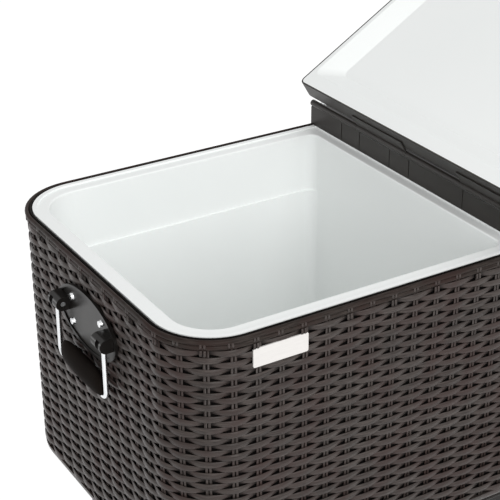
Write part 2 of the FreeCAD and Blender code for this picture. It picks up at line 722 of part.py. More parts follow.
def grip():
    """Moulded hand grip with a bowed palm side, bored for the bail's bar."""
    bar = BAIL_Z - BAIL_LENGTH
    half = GRIP_LENGTH / 2
    x0 = -BAIL_X - GRIP_DEPTH / 2
    top_a = V(x0, -half, bar + GRIP_ABOVE)
    top_b = V(x0, half, bar + GRIP_ABOVE)
    low_a = V(x0, -half, bar - GRIP_BELOW)
    low_b = V(x0, half, bar - GRIP_BELOW)
    palm = Part.Arc(low_b, V(x0, 0, bar - GRIP_BELOW - GRIP_CROWN), low_a).toShape()
    wire = Part.Wire([Part.LineSegment(top_a, top_b).toShape(), Part.LineSegment(top_b, low_b).toShape(),
                      palm, Part.LineSegment(low_a, top_a).toShape()])
    body = Part.Face(wire).extrude(V(GRIP_DEPTH, 0, 0))
    long_edges = [e for e in body.Edges if e.BoundBox.YLength > half and e.BoundBox.XLength < TINY]
    body = body.makeFillet(GRIP_ROUND, long_edges)
    return body.cut(rod(BAIL_RADIUS, V(-BAIL_X, -half - CUT_OVER, bar), V(-BAIL_X, half + CUT_OVER, bar)))


def wall_plate(x, width, z0, z1, thick, corner):
    """Upright plate with rounded corners lying on the front wall."""
    flat = slab((x - width / 2, x + width / 2, z0, z1, corner, corner), 0, thick)
    flat.rotate(V(0, 0, 0), X_AXIS, 90)
    flat.translate(V(0, -FRONT_FACE, 0))
    return flat


def badge_plate():
    z = RIM_TOP - BADGE_DROP
    return wall_plate(-BADGE_LEFT, BADGE_LENGTH, z - BADGE_HEIGHT / 2, z + BADGE_HEIGHT / 2,
                      BADGE_THICK, BADGE_CORNER)


def bottle_opener():
    """Cast opener: a wall plate, an arched hood with a lip, and a tooth under the cap's edge."""
    low = OPENER_Z - OPENER_HEIGHT / 2
    high = OPENER_Z + OPENER_HEIGHT / 2
    plate = wall_plate(OPENER_X, OPENER_WIDTH, low, high, OPENER_THICK, OPENER_CORNER)
    centre = V(OPENER_X, -FRONT_FACE, OPENER_Z - HOOD_RADIUS / 2)
    tip = centre + V(0, -OPENER_THICK - HOOD_DEPTH, 0)
    hood = rod(HOOD_RADIUS, centre, tip)
    hollow = rod(HOOD_RADIUS - HOOD_WALL, centre, tip + V(0, HOOD_WALL, 0))
    mouth = rod(HOOD_RADIUS - HOOD_LIP, centre, tip - V(0, CUT_OVER, 0))
    below = block(OPENER_X - HOOD_RADIUS, OPENER_X + HOOD_RADIUS, centre.y, tip.y,
                  centre.z, centre.z - HOOD_RADIUS)
    hood = hood.cut([hollow, mouth, below])
    tooth = block(OPENER_X - TOOTH_WIDTH / 2, OPENER_X + TOOTH_WIDTH / 2, centre.y,
                  centre.y - OPENER_THICK - TOOTH_DEPTH, centre.z - TOOTH_DROP,
                  centre.z - TOOTH_DROP - TOOTH_THICK)
    barb = block(OPENER_X - TOOTH_WIDTH / 2, OPENER_X + TOOTH_WIDTH / 2,
                 centre.y - OPENER_THICK - TOOTH_DEPTH + TOOTH_THICK,
                 centre.y - OPENER_THICK - TOOTH_DEPTH, centre.z - TOOTH_DROP - TOOTH_THICK,
                 centre.z - TOOTH_DROP + TOOTH_THICK)
    opener = fused([plate, hood, tooth, barb])
    holes = []
    for side in (-1, 1):
        x = OPENER_X + side * OPENER_SCREW_SPREAD / 2
        holes.append(rod(SCREW_RADIUS + HOLE_FIT, V(x, -FRONT_FACE, opener_screw_z()),
                         V(x, -FRONT_FACE - 2 * OPENER_THICK, opener_screw_z())))
    return opener.cut(holes)


def catcher_hanger():
    """Jogged strip screwed to the front wall, whose upper tongue carries the cap catcher."""
    half = HANGER_WIDTH / 2
    front = -FRONT_FACE
    jog = HANGER_Z + HANGER_FOOT
    out = front - HANGER_STANDOFF - HANGER_SHEET
    foot = block(OPENER_X - half, OPENER_X + half, front, front - HANGER_SHEET, HANGER_Z, jog)
    web = block(OPENER_X - half, OPENER_X + half, front, out, jog - HANGER_SHEET, jog)
    tongue = block(OPENER_X - half, OPENER_X + half, out + HANGER_SHEET, out, jog - HANGER_SHEET,
                   jog + HANGER_TONGUE)
    holes = []
    for side in (-1, 1):
        x = OPENER_X + side * HANGER_SCREW_SPREAD / 2
        holes.append(rod(SCREW_RADIUS + HOLE_FIT, V(x, front, hanger_screw_z()),
                         V(x, front - HANGER_SHEET - CUT_OVER, hanger_screw_z())))
    return fused([foot, web, tongue]).cut(holes)


def opener_screws():
    screws = []
    for x, z, seat in front_screw_places():
        screws.append(screw(V(x, -FRONT_FACE - seat, z), Y_AXIS, SCREW_LENGTH))
    return screws


def cap_catcher():
    """Open topped bin for bottle caps, hooked over the hanger's tongue."""
    tongue_top = HANGER_Z + HANGER_FOOT + HANGER_TONGUE
    tongue_front = -FRONT_FACE - HANGER_STANDOFF - HANGER_SHEET
    back = tongue_front - FIT
    top = tongue_top + FIT + BIN_WALL
    floor = top - BIN_HEIGHT
    x0 = OPENER_X - BIN_WIDTH / 2
    x1 = OPENER_X + BIN_WIDTH / 2
    plan = (x0, x1, back - BIN_DEPTH, back, BIN_CORNER, BIN_CORNER)
    hollow = (x0 + BIN_WALL, x1 - BIN_WALL, back - BIN_DEPTH + BIN_WALL, back - BIN_WALL,
              BIN_CORNER - BIN_WALL, BIN_CORNER - BIN_WALL)
    tub = slab(plan, floor, top).cut(slab(hollow, floor + BIN_WALL, top + CUT_OVER))
    tub = tub.cut(block(x0 - CUT_OVER, x1 + CUT_OVER, back - BIN_DEPTH - CUT_OVER, back - BIN_CORNER,
                        top - BIN_FRONT_CUT, top + CUT_OVER))
    lip_front = tongue_front + HANGER_SHEET + FIT
    half = HANGER_WIDTH / 2
    bridge = block(OPENER_X - half, OPENER_X + half, back - BIN_WALL, lip_front + BIN_WALL,
                   top - BIN_WALL, top)
    lip = block(OPENER_X - half, OPENER_X + half, lip_front, lip_front + BIN_WALL, top - BIN_LIP, top)
    return fused([tub, bridge, lip])


def drain_fittings():
    """Flanged pipe through each bay floor and its base panel."""
    fittings = []
    seat = BAY_FLOOR + DRAIN_SEAL
    low = PANEL_BOTTOM - PIPE_BELOW
    for place in drain_places():
        flange = rod(DRAIN_FLANGE, place + V(0, 0, seat), place + V(0, 0, seat + DRAIN_FLANGE_THICK))
        flange = flange.makeFillet(DRAIN_FLANGE_THICK / 2, level_edges(flange, seat + DRAIN_FLANGE_THICK))
        pipe = rod(PIPE_RADIUS, place + V(0, 0, low), place + V(0, 0, seat + TINY))
        bore = rod(PIPE_BORE, place + V(0, 0, low - CUT_OVER), place + V(0, 0, seat + 2 * CUT_OVER))
        fittings.append(fused([flange, pipe]).cut(bore))
    return fittings


def drain_seals():
    seals = []
    for place in drain_places():
        seals.append(ring(DRAIN_FLANGE, PIPE_RADIUS + PIN_FIT, place + V(0, 0, BAY_FLOOR),
                          place + V(0, 0, BAY_FLOOR + DRAIN_SEAL)))
    return seals


def drain_nuts():
    nuts = []
    for place in drain_places():
        low = place + V(0, 0, PANEL_BOTTOM - DRAIN_NUT_HEIGHT)
        high = place + V(0, 0, PANEL_BOTTOM)
        nut = hexagon(DRAIN_NUT, low, high)
        nuts.append(nut.cut(rod(PIPE_RADIUS + PIN_FIT, low - V(0, 0, CUT_OVER), high + V(0, 0, CUT_OVER))))
    return nuts


def drain_cap(place):
    """Fluted screw cap over the lower end of a drain pipe."""
    end = PANEL_BOTTOM - PIPE_BELOW - FIT
    low = place + V(0, 0, end - CAP_END)
    outer = PIPE_RADIUS + CAP_WALL
    cap = rod(outer, low, low + V(0, 0, CAP_HEIGHT))
    cap = cap.makeFillet(CAP_END / 2, level_edges(cap, low.z))
    tools = [rod(PIPE_RADIUS + PIN_FIT, place + V(0, 0, end), place + V(0, 0, end + CAP_HEIGHT))]
    for k in range(CAP_FLUTES):
        angle = 2 * math.pi * k / CAP_FLUTES
        foot = low + V(outer * math.cos(angle), outer * math.sin(angle), CAP_END)
        tools.append(rod(CAP_FLUTE_RADIUS, foot, foot + V(0, 0, CAP_HEIGHT)))
    return cap.cut(tools)


def leg_frame():
    """Left end of the stand: two legs, a top tube under the box and a shelf tube."""
    half = TUBE / 2
    bore = half - TUBE_WALL
    x0 = -LEG_X - half
    x1 = -LEG_X + half
    end = LEG_Y + half
    top_low = BOX_BOTTOM - TUBE
    shelf_low = SHELF_TUBE_TOP - TUBE
    tubes = [block(x0, x1, -end, end, top_low, BOX_BOTTOM),
             block(x0, x1, -LEG_Y, LEG_Y, shelf_low, SHELF_TUBE_TOP)]
    bores = [block(-LEG_X - bore, -LEG_X + bore, -end - CUT_OVER, end + CUT_OVER,
                   top_low + TUBE_WALL, BOX_BOTTOM - TUBE_WALL),
             block(-LEG_X - bore, -LEG_X + bore, -LEG_Y, LEG_Y, shelf_low + TUBE_WALL,
                   SHELF_TUBE_TOP - TUBE_WALL)]
    for y in (-LEG_Y, LEG_Y):
        tubes.append(block(x0, x1, y - half, y + half, LEG_BOTTOM, top_low + half))
        bores.append(block(-LEG_X - bore, -LEG_X + bore, y - bore, y + bore, LEG_BOTTOM - CUT_OVER, top_low))
        z = SHELF_TUBE_TOP - half
        bores.append(rod(BOLT_RADIUS + HOLE_FIT, V(x0 - CUT_OVER, y, z), V(x1 + CUT_OVER, y, z)))
    for y in (-BOX_BOLT_Y, BOX_BOLT_Y):
        bores.append(rod(BOLT_RADIUS + HOLE_FIT, V(-LEG_X, y, top_low - CUT_OVER),
                         V(-LEG_X, y, BOX_BOTTOM + CUT_OVER)))
    return fused(tubes).cut(bores)


def tube_caps():
    """Plastic plugs in the open ends of the two top tubes."""
    caps = []
    half = TUBE / 2
    plug = half - TUBE_WALL - PIN_FIT
    end = LEG_Y + half
    z = BOX_BOTTOM - half
    for x in (-LEG_X, LEG_X):
        head = block(x - half, x + half, end, end + TUBE_CAP_HEAD, z - half, z + half)
        stub = block(x - plug, x + plug, end - TUBE_CAP_PLUG, end, z - plug, z + plug)
        cap = fused([head, stub])
        caps += [cap, mirror_y(cap)]
    return caps


def front_stretcher():
    """Long tube between the end frames, closed by a tapped plate at each end."""
    half = TUBE / 2
    bore = half - TUBE_WALL
    end = LEG_X - half
    z = SHELF_TUBE_TOP - half
    tube = block(-end, end, -LEG_Y - half, -LEG_Y + half, z - half, z + half)
    inside = end - STRETCHER_END
    tube = tube.cut(block(-inside, inside, -LEG_Y - bore, -LEG_Y + bore, z - bore, z + bore))
    taps = [rod(BOLT_RADIUS + PIN_FIT, V(s * (end + CUT_OVER), -LEG_Y, z),
                V(s * (inside - CUT_OVER), -LEG_Y, z)) for s in (-1, 1)]
    return tube.cut(taps)


def bolt(head_seat, inwards, length):
    """Hexagon head bolt; head_seat is the point under its head."""
    head = hexagon(BOLT_HEAD, head_seat - inwards * BOLT_HEAD_HEIGHT, head_seat)
    return fused([head, rod(BOLT_RADIUS, head_seat, head_seat + inwards * length)])


def frame_bolts():
    """Bolts up into the box, and bolts through the legs into the stretchers."""
    bolts = []
    low = BOX_BOTTOM - TUBE
    for x, y in box_bolt_places():
        bolts.append(bolt(V(x, y, low), Z_AXIS, PANEL_TOP + NUT_HEIGHT - low))
    z = SHELF_TUBE_TOP - TUBE / 2
    for y in (-LEG_Y, LEG_Y):
        left = bolt(V(-LEG_X - TUBE / 2, y, z), X_AXIS, TUBE + STRETCHER_END)
        bolts += [left, mirror_x(left)]
    return bolts


def shelf_wire_ys():
    edge = LEG_Y - TUBE / 2 - SHELF_EDGE
    pitch = 2 * edge / (SHELF_WIRES + 1)
    return [-edge + pitch * (k + 1) for k in range(SHELF_WIRES)]


def wire_shelf():
    """Rod frame lying on the shelf tubes, filled with long wires over two braces."""
    x = LEG_X - SHELF_EDGE
    y = LEG_Y - TUBE / 2 - SHELF_EDGE
    z = SHELF_TUBE_TOP + SHELF_ROD
    path = rounded_wire((-x, x, -y, y, SHELF_CORNER, SHELF_CORNER), z)
    start = path.Edges[0].Vertexes[0].Point
    along = path.Edges[0].tangentAt(path.Edges[0].FirstParameter)
    rods = [sweep(path, start, along, SHELF_ROD)]
    wire_z = z + SHELF_ROD - SHELF_WIRE
    for wire_y in shelf_wire_ys():
        rods.append(rod(SHELF_WIRE, V(-x, wire_y, wire_z), V(x, wire_y, wire_z)))
    brace_z = wire_z - SHELF_WIRE - SHELF_BRACE + SHELF_WELD
    for k in range(SHELF_BRACES):
        brace_x = -x + 2 * x * (k + 1) / (SHELF_BRACES + 1)
        rods.append(rod(SHELF_BRACE, V(brace_x, -y, brace_z), V(brace_x, y, brace_z)))
    return fused(rods)


def shelf_clips():
    """Riveted saddles that hold the shelf's end rods down on the shelf tubes."""
    x = -(LEG_X - SHELF_EDGE)
    z = SHELF_TUBE_TOP + SHELF_ROD
    outer = SHELF_ROD + PIN_FIT + CLIP_SHEET
    ys = shelf_wire_ys()
    clips = []
    for near, far in ((ys[1], ys[2]), (ys[-3], ys[-2])):
        y0 = (near + far) / 2 - CLIP_WIDTH / 2
        y1 = y0 + CLIP_WIDTH
        arch = rod(outer, V(x, y0, z), V(x, y1, z))
        skirt = block(x - outer, x + outer, y0, y1, SHELF_TUBE_TOP, z)
        under = block(x - outer, x + outer, y0, y1, SHELF_TUBE_TOP, SHELF_TUBE_TOP - outer)
        foot = block(x - outer - CLIP_FOOT, x, y0, y1, SHELF_TUBE_TOP, SHELF_TUBE_TOP + CLIP_SHEET)
        rivet_x = x - outer - CLIP_FOOT / 2
        rivet_y = (y0 + y1) / 2
        rivet = rod(CLIP_RIVET, V(rivet_x, rivet_y, SHELF_TUBE_TOP),
                    V(rivet_x, rivet_y, SHELF_TUBE_TOP + 2 * CLIP_SHEET))
        inner = SHELF_ROD + PIN_FIT
        bore = rod(inner, V(x, y0 - CUT_OVER, z), V(x, y1 + CUT_OVER, z))
        throat = block(x - inner, x + inner, y0 - CUT_OVER, y1 + CUT_OVER, SHELF_TUBE_TOP, z)
        clip = fused([arch, skirt, foot, rivet]).cut([under, bore, throat])
        clips += [clip, mirror_x(clip)]
    return clips


def caster_socket():
    """Plastic plug in a leg's open end, bored for a caster's stem."""
    half = TUBE / 2
    plug = half - TUBE_WALL - PIN_FIT
    low = LEG_BOTTOM - SOCKET_FLANGE
    flange = block(-half, half, -half, half, low, LEG_BOTTOM)
    stub = block(-plug, plug, -plug, plug, LEG_BOTTOM, LEG_BOTTOM + SOCKET_LENGTH)
    bore = rod(STEM_RADIUS + PIN_FIT, V(0, 0, low - CUT_OVER), V(0, 0, FORK_TOP + STEM_LENGTH + FIT))
    return fused([flange, stub]).cut(bore)


def axle_line(half):
    """Points on the axle, half to each side of the wheel's middle."""
    return V(-half, -FORK_TRAIL, WHEEL_RADIUS), V(half, -FORK_TRAIL, WHEEL_RADIUS)


def caster_tyre():
    half = WHEEL_WIDTH / 2
    tyre = rod(WHEEL_RADIUS, *axle_line(half))
    edges = [e for e in tyre.Edges if e.Closed]
    tyre = tyre.makeFillet(TYRE_ROUND, edges)
    return tyre.cut(rod(WHEEL_RADIUS - TYRE_THICK, *axle_line(WHEEL_WIDTH)))


def caster_hub():
    """Wheel centre with a hollowed web on both faces and a bored boss."""
    half = WHEEL_WIDTH / 2
    rim = WHEEL_RADIUS - TYRE_THICK
    hub = fused([rod(rim, *axle_line(half)), rod(HUB_BOSS_RADIUS, *axle_line(half + HUB_BOSS_OUT))])
    groove = ring(rim - HUB_RIM, HUB_BOSS_RADIUS, *axle_line(WHEEL_WIDTH))
    web = rod(rim, *axle_line(half - HUB_GROOVE))
    return hub.cut([groove.cut(web), rod(AXLE_RADIUS + PIN_FIT, *axle_line(WHEEL_WIDTH))])


def cheek_face():
    """Distance from the wheel's middle to the inside of the fork's cheeks."""
    return WHEEL_WIDTH / 2 + HUB_BOSS_OUT + FIT


def caster_axle():
    """Axle bolt, held by a head and a nut outside the cheeks."""
    seat = cheek_face() + FORK_SHEET
    shank = rod(AXLE_RADIUS, *axle_line(seat + AXLE_HEAD_HEIGHT))
    start, end = axle_line(seat)
    head = rod(AXLE_HEAD, start, start - X_AXIS * AXLE_HEAD_HEIGHT)
    nut = hexagon(AXLE_HEAD, end, end + X_AXIS * AXLE_HEAD_HEIGHT)
    return fused([shank, head, nut])


def brake_pivot():
    return V(0, -FORK_TRAIL - BRAKE_BACK, WHEEL_RADIUS + BRAKE_UP)


def caster_fork(braked):
    """Swivel fork: two cheeks under a crown, a bearing race and a stem."""
    inside = cheek_face()
    outside = inside + FORK_SHEET
    crown = 2 * WHEEL_RADIUS + FORK_CLEAR
    top = crown + FORK_SHEET
    eye_y = -FORK_TRAIL
    outline = [V(0, FORK_CROWN, top), V(0, eye_y + FORK_EYE, WHEEL_RADIUS),
               V(0, eye_y - FORK_EYE, WHEEL_RADIUS), V(0, eye_y - FORK_EYE, top), V(0, FORK_CROWN, top)]
    cheek = Part.Face(Part.makePolygon(outline)).extrude(X_AXIS * 2 * outside)
    cheek.translate(V(-outside, 0, 0))
    pieces = [cheek, rod(FORK_EYE, *axle_line(outside))]
    pivot = brake_pivot()
    if braked:
        ear = [V(0, 0, top), pivot + V(0, 0, BRAKE_EAR), pivot + V(0, 0, -BRAKE_EAR),
               V(0, eye_y, WHEEL_RADIUS + FORK_EYE), V(0, 0, top)]
        web = Part.Face(Part.makePolygon(ear)).extrude(X_AXIS * 2 * outside)
        web.translate(V(-outside, 0, 0))
        pieces += [web, rod(BRAKE_EAR, pivot - X_AXIS * outside, pivot + X_AXIS * outside)]
    fork = fused(pieces)
    far = 2 * (FORK_TRAIL + WHEEL_RADIUS)
    fork = fork.cut(block(-inside, inside, -far, far, 0, crown))
    race = rod(RACE_RADIUS, V(0, 0, top), V(0, 0, top + RACE_HEIGHT))
    race = race.makeFillet(RACE_HEIGHT / 4, [e for e in race.Edges if e.Closed])
    race_cap = rod(RACE_CAP_RADIUS, V(0, 0, crown), V(0, 0, FORK_TOP))
    stem = rod(STEM_RADIUS, V(0, 0, crown), V(0, 0, FORK_TOP + STEM_LENGTH))
    fork = fused([fork, race, race_cap, stem])
    holes = [rod(AXLE_RADIUS + PIN_FIT, *axle_line(2 * outside))]
    if braked:
        holes.append(rod(BRAKE_PIN + PIN_FIT, pivot - X_AXIS * 2 * outside, pivot + X_AXIS * 2 * outside))
    return fork.cut(holes)


def brake_lever():
    """Foot lever on a pin behind the wheel, with a shoe that swings onto the tyre."""
    inside = cheek_face() - FIT
    outside = cheek_face() + FORK_SHEET
    pivot = brake_pivot()
    hub = rod(BRAKE_BARREL, pivot - X_AXIS * inside, pivot + X_AXIS * inside)
    pin = rod(BRAKE_PIN, pivot - X_AXIS * outside, pivot + X_AXIS * outside)
    pedal_top = pivot.z + BRAKE_BARREL
    pedal = slab((-inside, inside, pivot.y - BRAKE_PEDAL, pivot.y, BRAKE_SHEET, BRAKE_SHEET),
                 pedal_top - BRAKE_SHEET, pedal_top)
    shoe_face = pivot.y - BRAKE_SHOE_BACK
    shoe = block(-inside, inside, shoe_face - BRAKE_SHEET, shoe_face, pivot.z - BRAKE_SHOE_LENGTH, pedal_top)
    return fused([hub, pin, pedal, shoe])


def solids_of(pieces):
    """Several separate solids kept in one node."""
    return Part.makeCompound(pieces)


def caster_nodes():
    """Fork, wheel, axle and brake for each corner, trailing outwards from the cart."""
    made = {}
    for end_name, x in (("left", -LEG_X), ("right", LEG_X)):
        for side_name, y in (("front", -LEG_Y), ("back", LEG_Y)):
            braked = side_name == "front"
            name = side_name + "_" + end_name
            pieces = {"caster_fork": caster_fork(braked), "caster_tyre": caster_tyre(),
                      "caster_hub": caster_hub(), "caster_axle": caster_axle()}
            if braked:
                pieces["brake_lever"] = brake_lever()
            for piece, shape in pieces.items():
                placed = shape.copy() if braked else mirror_y(shape)
                placed.translate(V(x, y, 0))
                made[name + "_" + piece] = placed
    return made


def socket_group():
    sockets = []
    for x in (-LEG_X, LEG_X):
        for y in (-LEG_Y, LEG_Y):
            socket = caster_socket()
            socket.translate(V(x, y, 0))
            sockets.append(socket)
    return solids_of(sockets)


def all_nodes():
    """Every named piece of the cart, at its rest place."""
    made = {"wicker_shell": wicker_shell(), "wall_foam": wall_foam(), "hinge_crossbar": hinge_crossbar(),
            "crossbar_screws": solids_of(crossbar_screws()), "badge_plate": badge_plate(),
            "handle_screws": solids_of(handle_screws()), "bottle_opener": bottle_opener(),
            "catcher_hanger": catcher_hanger(), "opener_screws": solids_of(opener_screws()),
            "cap_catcher": cap_catcher(), "drain_fittings": solids_of(drain_fittings()),
            "drain_seals": solids_of(drain_seals()), "drain_nuts": solids_of(drain_nuts()),
            "tube_caps": solids_of(tube_caps()), "frame_bolts": solids_of(frame_bolts()),
            "wire_shelf": wire_shelf(), "shelf_clips": solids_of(shelf_clips()),
            "caster_sockets": socket_group()}
    for name, shape in (("tub_liner", tub_liner()), ("base_panel", base_panel()), ("hinge_rod", hinge_rod()),
                        ("handle_bracket", handle_bracket()), ("handle_bail", bail()),
                        ("handle_grip", grip()), ("leg_frame", leg_frame())):
        made["left_" + name] = shape
        made["right_" + name] = mirror_x(shape)
    for name, shape in (("lid_top", lid_top()), ("lid_liner", lid_liner()), ("lid_foam", lid_foam())):
        made["left_" + name] = opened(shape)
        made["right_" + name] = mirror_x(shape)
    stretcher = front_stretcher()
    made["front_stretcher"] = stretcher
    made["back_stretcher"] = mirror_y(stretcher)
    for side, place in zip(("left", "right"), drain_places()):
        made[side + "_drain_cap"] = drain_cap(place)
    made.update(caster_nodes())
    return made


os.makedirs("parts", exist_ok=True)
for node, shape in all_nodes().items():
    shape.exportStep("parts/" + node + ".step")
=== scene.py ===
import json
import math
import bmesh
import bpy
from mathutils import Matrix, Vector


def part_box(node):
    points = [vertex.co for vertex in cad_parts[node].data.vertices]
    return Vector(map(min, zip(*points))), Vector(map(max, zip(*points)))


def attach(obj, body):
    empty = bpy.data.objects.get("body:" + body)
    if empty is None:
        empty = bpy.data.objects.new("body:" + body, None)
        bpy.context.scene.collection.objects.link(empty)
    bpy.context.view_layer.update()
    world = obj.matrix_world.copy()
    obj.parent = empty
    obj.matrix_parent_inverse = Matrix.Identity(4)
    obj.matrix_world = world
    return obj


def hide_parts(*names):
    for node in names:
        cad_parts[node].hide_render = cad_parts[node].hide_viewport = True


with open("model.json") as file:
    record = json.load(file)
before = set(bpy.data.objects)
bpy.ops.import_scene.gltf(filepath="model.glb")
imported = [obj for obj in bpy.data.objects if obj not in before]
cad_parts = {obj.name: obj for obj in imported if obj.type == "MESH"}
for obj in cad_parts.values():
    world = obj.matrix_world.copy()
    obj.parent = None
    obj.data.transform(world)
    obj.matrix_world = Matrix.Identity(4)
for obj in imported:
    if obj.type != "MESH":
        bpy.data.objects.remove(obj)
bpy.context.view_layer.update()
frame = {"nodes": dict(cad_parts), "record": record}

# Wicker cooler cart: the woven shell with its rim and foot, and the hand grips, are made here
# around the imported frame, and every other piece gets its finish. Metres, +Z up, front towards -Y.

MM = 0.001

# Woven shell, in from the outer edge of the rim
shell_low, shell_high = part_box("wicker_shell")
RIM_HALF_X = shell_high.x
RIM_HALF_Y = shell_high.y
RIM_TOP = shell_high.z
SHELL_BOTTOM = shell_low.z
RIM_CORNER = 75 * MM
WALL_INSET = 4 * MM
BACKING_INSET = 8.15 * MM
BACKING_THICK = 0.1 * MM
CORNER_STEPS = 12
PATH_CORNER_STEPS = 24
SHARP_EDGE = math.radians(40)

# Plain weave: strands run level round the box and pass in front of and behind paired stakes. Edge
# and spread are shares of a strand's section; a group is (piece, first course, pairs of courses).
STAKES = 92
STEPS_PER_STAKE = 8
PATH_POINTS = STAKES * STEPS_PER_STAKE
STRAND_PITCH = 6.65 * MM
STRAND_HEIGHT = 6.0 * MM
STRAND_THICK = 1.5 * MM
STRAND_EDGE = 0.42
STRAND_SWING = 1.75 * MM
STRAND_SPREAD = 0.24
STRAND_INSET = 5.75 * MM
STRAND_LIFT = 1.0 * MM
STRAND_WANDER = 0.5 * MM
RECESS = "recess"
WANDER_SCALE = 45.0
TOP_STRAND = RIM_TOP - 16.4 * MM
COURSE_GROUPS = (("upper_courses", 0, 8), ("middle_courses", 16, 7), ("lower_courses", 30, 7))
STAKE_SHIFT = 4
RIB_SPACING = 3.7 * MM
RIB_WIDTH = 3.0 * MM
RIB_DEPTH = 1.6 * MM
RIB_SIDES = 8
STAKE_INSET = 5.7 * MM

# Rim: three strands laid side by side over the edge, as (inset, drop, width, height)
RIM_STRANDS = {
    "rim_inner_strand": (7.8 * MM, 3.0 * MM, 3.8 * MM, 5.8 * MM),
    "rim_edge_strand": (3.6 * MM, 2.9 * MM, 5.0 * MM, 5.6 * MM),
    "rim_lower_strand": (4.3 * MM, 8.6 * MM, 4.8 * MM, 5.8 * MM),
}
RIM_SIDES = 12

# Ticks over the rim, as (stakes from one to the next, drop to the lower end, drop to the upper end)
RIM_TICKS = {
    "rim_tall_ticks": (2, 16.8 * MM, 10.8 * MM),
    "rim_short_ticks": (1, 8.6 * MM, 2.8 * MM),
}
TICK_INSET = 2.2 * MM
TICK_FIRST_STAKE = 1

# Foot: rounded border under the last strand, turned in below the box
FOOT_TOP = 12.5 * MM
FOOT_ROUND = 11.0 * MM
FOOT_WALL = 4.0 * MM
FOOT_REACH = 74.0 * MM
FOOT_ARC_STEPS = 6

# Hand grips, as (node, wire's node, body): a level top and a palm side that thins out to the ends
GRIPS = (("left_handle_grip", "left_handle_bail", "left_handle"),
         ("right_handle_grip", "right_handle_bail", "right_handle"))
BAIL_RADIUS = 2.75 * MM
GRIP_RINGS = 33
GRIP_SIDES = 20
GRIP_MERGE = 0.02 * MM
GRIP_STRETCH = 5.0 * MM
GRIP_ABOVE = 5.0 * MM
GRIP_BELOW = 24.0 * MM
GRIP_END_DEPTH = 0.55
GRIP_END_BELOW = 0.18

# Camera, from the straight edges of the box in the photograph
IMAGE_SIZE = 500
FOCAL_PIXELS = 1451.4
SENSOR = 36.0
CAMERA_PLACE = Vector((-0.9823, -1.2305, 1.5316))
CAMERA_YAW = math.radians(31.01)
CAMERA_PITCH = math.radians(26.80)
CAMERA_ROLL = math.radians(0.44)

# Studio: level of the sky, the floor and the glow that brings its lit part up to white for the
# camera, and lamps as (place, target, side, power)
WHITE = (1, 1, 1, 1)
AMBIENT = 0.62
FLOOR_HALF = 6.0
FLOOR_GLOW = 0.49
LAMPS = {
    "key_lamp": ((-0.5, -2.9, 2.35), (-0.15, 0.0, 0.75), 2.0, 62.0),
    "edge_lamp": ((-2.1, 2.2, 0.8), (-0.45, 0.0, 0.7), 0.4, 6.0),
}


def display(red, green, blue):
    """Linear colour of a display colour given from 0 to 255."""
    channels = []
    for level in (red / 255, green / 255, blue / 255):
        channels.append(level / 12.92 if level <= 0.04045 else ((level + 0.055) / 1.055) ** 2.4)
    return (*channels, 1.0)


class Pin:
    """A node's output; sums and products of pins add Math nodes to their tree."""

    def __init__(self, graph, socket):
        self.graph = graph
        self.socket = socket

    def __add__(self, other):
        return self.graph.work("ADD", self, other)

    def __sub__(self, other):
        return self.graph.work("SUBTRACT", self, other)

    def __rsub__(self, other):
        return self.graph.work("SUBTRACT", other, self)

    def __mul__(self, other):
        return self.graph.work("MULTIPLY", self, other)

    def __truediv__(self, other):
        return self.graph.work("DIVIDE", self, other)

    def __mod__(self, other):
        return self.graph.work("FLOORED_MODULO", self, other)

    def __lt__(self, other):
        return self.graph.work("LESS_THAN", self, other)

    __radd__ = __add__
    __rmul__ = __mul__


class Graph:
    """Adds nodes to one tree: settings are set first, then socket values and links."""

    def __init__(self, tree):
        self.tree = tree

    def add(self, kind, settings=None, sockets=None, out=0):
        node = self.tree.nodes.new(kind)
        for name, value in (settings or {}).items():
            if name == "stops":
                self.set_stops(node.color_ramp, value)
            else:
                setattr(node, name, value)
        for key, value in (sockets or {}).items():
            for item in value if isinstance(value, list) else [value]:
                if isinstance(item, Pin):
                    self.tree.links.new(item.socket, node.inputs[key])
                else:
                    node.inputs[key].default_value = item
        return Pin(self, node.outputs[out]) if node.outputs else node

    def work(self, operation, *values):
        return self.add("ShaderNodeMath", {"operation": operation}, dict(enumerate(values)))

    def seen(self):
        """1 for the rays that show the background: camera, glossy and transmission."""
        shown = self.add("ShaderNodeLightPath", out="Is Camera Ray")
        for ray in ("Is Glossy Ray", "Is Transmission Ray"):
            shown = self.work("MAXIMUM", shown, self.add("ShaderNodeLightPath", out=ray))
        return shown

    @staticmethod
    def set_stops(ramp, stops):
        while len(ramp.elements) < len(stops):
            ramp.elements.new(1.0)
        for element, (place, level) in zip(ramp.elements, stops):
            element.position = place
            element.color = (level, level, level, 1.0)


